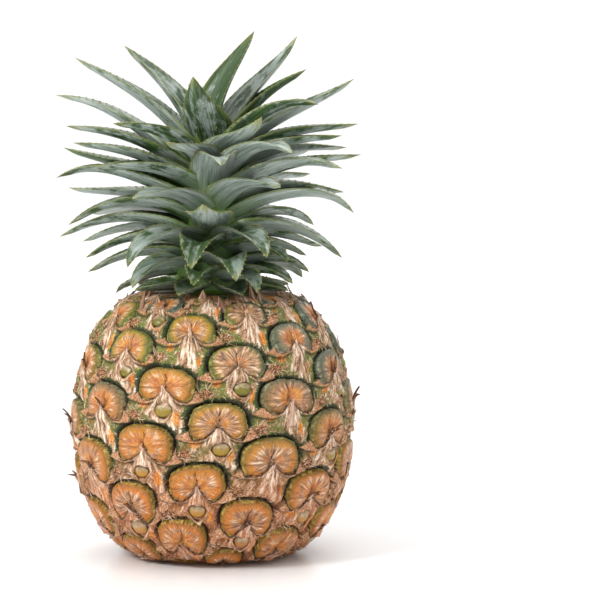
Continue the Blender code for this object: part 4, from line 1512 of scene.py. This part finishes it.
    def build_leaves(self, material: bpy.types.Material) -> bpy.types.Object:
        """Make every leaf from one grid rolled into a flat tube."""
        template = bmesh.new()
        bmesh.ops.create_grid(template, x_segments=self.around, y_segments=self.stations, size=1.0)
        grid = corners_of(template)
        ring_place = np.round((grid[:, 0] + 1.0) * 0.5 * self.around).astype(int) % self.around
        station = np.round((grid[:, 1] + 1.0) * 0.5 * self.stations).astype(int)
        half_ring = self.around // 2
        upper = ring_place <= half_ring
        side = np.where(upper, -1.0 + 2.0 * ring_place / half_ring, 3.0 - 2.0 * ring_place / half_ring)
        bm = repeated(template, len(self.leaves))
        columns = []
        for number, leaf in enumerate(self.leaves):
            parts = self.sections(leaf)
            middle, aside, face, half, channel, thick = (
                np.array([getattr(part, name) for part in parts])[station]
                for name in ("middle", "aside", "face", "half", "channel", "thick")
            )
            along = station / self.stations
            wave = 0.5 * MM * noise_at(along * 7.0, np.sign(side) * 3.0, np.full(len(side), number * 2.7))
            bow = np.abs(side) ** 1.5
            up = channel * bow - np.where(upper, 0.0, thick * (1.0 - side * side))
            place = middle + aside * (side * (half + wave * (half > 2.0 * MM)))[:, None] + face * up[:, None]
            length = (leaf.tip - parts[0].middle).length
            outer = np.where(upper, -0.01, 0.05) + 0.05 * (1.0 - along)
            tier = (leaf.root_height - self.body.top) / (self.stem_top - self.body.top)
            shade = 0.05 * math.sin(number * 2.4)
            shade += self.bloom_shift * ((number in self.bloomed) - (number in self.rubbed))
            columns.append(np.stack(np.broadcast_arrays(
                *place.T, side * half / MM, along * length * 1.15 / MM, number * 11.3,
                outer, np.abs(side), along, tier, shade, 0.0,
            )))
        columns = np.concatenate(columns, axis=1)
        move_corners(bm, columns[:3].T)
        store_marks(bm, {"leaf_place": columns[3:6], "leaf_marks": columns[6:9], "leaf_tone": columns[9:]})
        bmesh.ops.remove_doubles(bm, verts=bm.verts, dist=self.weld)
        bmesh.ops.holes_fill(bm, edges=bm.edges, sides=self.around)
        bmesh.ops.recalc_face_normals(bm, faces=bm.faces)
        piece = finish_piece("crown_leaves", bm, material)
        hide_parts("crown")
        return piece

    def build_teeth(self, material: bpy.types.Material) -> bpy.types.Object:
        """Make the small spines along both edges of every leaf."""
        spots = []
        for leaf in self.leaves:
            parts = self.sections(leaf)
            for side in (-1.0, 1.0):
                edge = [
                    part.middle + part.aside * (side * part.half) + part.face * part.channel for part in parts
                ]
                gone = 0.0
                due = self.tooth_spacing * (0.5 + 0.3 * side)
                for station in range(3, self.stations - 1):
                    step = edge[station + 1] - edge[station]
                    gone += step.length
                    while due < gone:
                        along = step.normalized()
                        spot = edge[station + 1] - along * (gone - due)
                        spots.append((spot, along, parts[station].aside * side, parts[station].face))
                        due += self.tooth_spacing
        template = bmesh.new()
        bmesh.ops.create_cone(template, cap_ends=True, segments=3, radius1=1.0, radius2=0.0, depth=2.0)
        shape = corners_of(template)
        bm = repeated(template, len(spots))
        places = []
        for spot, along, out, face in spots:
            axis = (out * 0.8 + along * 0.9).normalized()
            flank = axis.cross(face).normalized()
            local = shape * (*self.tooth_half_widths, 0.5 * self.tooth_length)
            local[:, 2] += 0.25 * self.tooth_length
            places.append(np.array(spot) + local @ np.array([flank, face, axis]))
        move_corners(bm, np.concatenate(places))
        return finish_piece("leaf_teeth", bm, material)

    def build_stem(self, material: bpy.types.Material) -> bpy.types.Object:
        """Make the stem that the leaves leave, from just over the fruit to the heart of the crown."""
        foot = self.body.top + self.stem_gap
        bm = bmesh.new()
        bmesh.ops.create_cone(
            bm, cap_ends=True, segments=self.stem_sides, radius1=self.stem_radius, radius2=self.stem_tip_radius,
            depth=self.stem_top - foot,
        )
        bmesh.ops.translate(bm, verts=bm.verts, vec=(0.0, 0.0, 0.5 * (self.stem_top + foot)))
        cone = [face for face in bm.faces if len(face.verts) == 4]
        rings = {
            edge for face in cone for edge in face.edges
            if abs(edge.verts[0].co.z - edge.verts[1].co.z) > MM
        }
        bmesh.ops.subdivide_edges(bm, edges=list(rings), cuts=self.stem_cuts)
        places = corners_of(bm)
        bump = noise_at(places[:, 0] / (3.0 * MM), places[:, 1] / (3.0 * MM), places[:, 2] / (5.0 * MM))
        places[:, :2] *= (1.0 + 0.03 * bump)[:, None]
        move_corners(bm, places)
        angle = np.arctan2(places[:, 0], places[:, 1])
        store_marks(bm, {
            "leaf_place": [angle * 12.0, places[:, 2] / MM, 0.0],
            "leaf_marks": [angle * 0.0 - 0.1, 0.0, 0.08], "leaf_tone": [angle * 0.0, 0.0, 0.0],
        })
        return finish_piece("crown_stem", bm, material)


@dataclass(frozen=True)
class CutStalkFinish:
    """Dry cut stalk: pale fibre ends in rings, with a darker bark at the edge."""

    fibre_size: float = 0.6 * MM
    roughness: float = 0.85
    wood: tuple = ((0.0, "#8a6f45"), (0.35, "#c2a873"), (0.8, "#e0cda0"))
    bark: str = "#6b5230"
    bark_radii: tuple[float, float] = (10.0 * MM, 11.8 * MM)

    def build(self) -> bpy.types.Material:
        """Make the cut stalk's material from the distance to the axis and the fibre ends."""
        made, tree, node = new_material("cut_stalk_fibre")
        place = node("TexCoord").outputs["Object"]
        right, back, _ = node("SeparateXYZ", place).outputs
        reach = node("VectorMath", node("CombineXYZ", right, back), operation="LENGTH").outputs["Value"]
        ends = node("TexVoronoi", Vector=place, Scale=1.0 / self.fibre_size)
        colour = paint(tree, node("ValToRGB", ends, stops=self.wood), [
            (self.bark, (reach, *self.bark_radii, 0.85)),
        ], "LINEAR")
        dress(tree, colour, self.roughness, (ends, 0.6, 0.3))
        return made


def main() -> None:
    """Build the pineapple's pieces in order."""
    logging.basicConfig(level=logging.INFO, format="%(name)s %(message)s")
    body = Body()
    rind = Rind(body)
    rind.build(RindFinish())
    BractTips(body, rind).build(PaperFinish(
        "bract_paper", ((0.28, "#6a5248"), (0.42, "#a8866f"), (0.56, "#cfae98"), (0.72, "#efdfd0")),
    ))
    buds = Buds(body, rind)
    buds.build(BudFinish())
    buds.build_scales(PaperFinish(
        "dry_scale", ((0.28, "#4a3220"), (0.42, "#8a6444"), (0.54, "#b8906a"), (0.68, "#e2ccae")),
    ))
    Fibres(body, rind).build(PaperFinish(
        "dry_fibre", ((0.30, "#54301a"), (0.40, "#a06a42"), (0.50, "#d0a47c"), (0.62, "#f4e2cc")),
    ))
    FootScales(body).build(PaperFinish(
        "dry_foot_scale", ((0.30, "#38201a"), (0.44, "#7c5240"), (0.58, "#a98a6a"), (0.72, "#d6c2a4")),
    ))
    DriedFlowers(body, rind).build(PaperFinish(
        "dried_flower", ((0.30, "#1e120c"), (0.44, "#4a2a16"), (0.58, "#7e5230"), (0.72, "#b48a60")),
    ))
    crown = Crown(body)
    leaf_material = LeafFinish().build()
    crown.build_leaves(leaf_material)
    tooth = PaperFinish("tooth_horn", ((0.3, "#8a8440"), (0.6, "#c2b880")), roughness=0.5).build()
    crown.build_teeth(tooth)
    crown.build_stem(leaf_material)
    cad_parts["stalk_stub"].data.materials.clear()
    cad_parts["stalk_stub"].data.materials.append(CutStalkFinish().build())
    Studio().build()


if __name__ == "__main__":
    main()
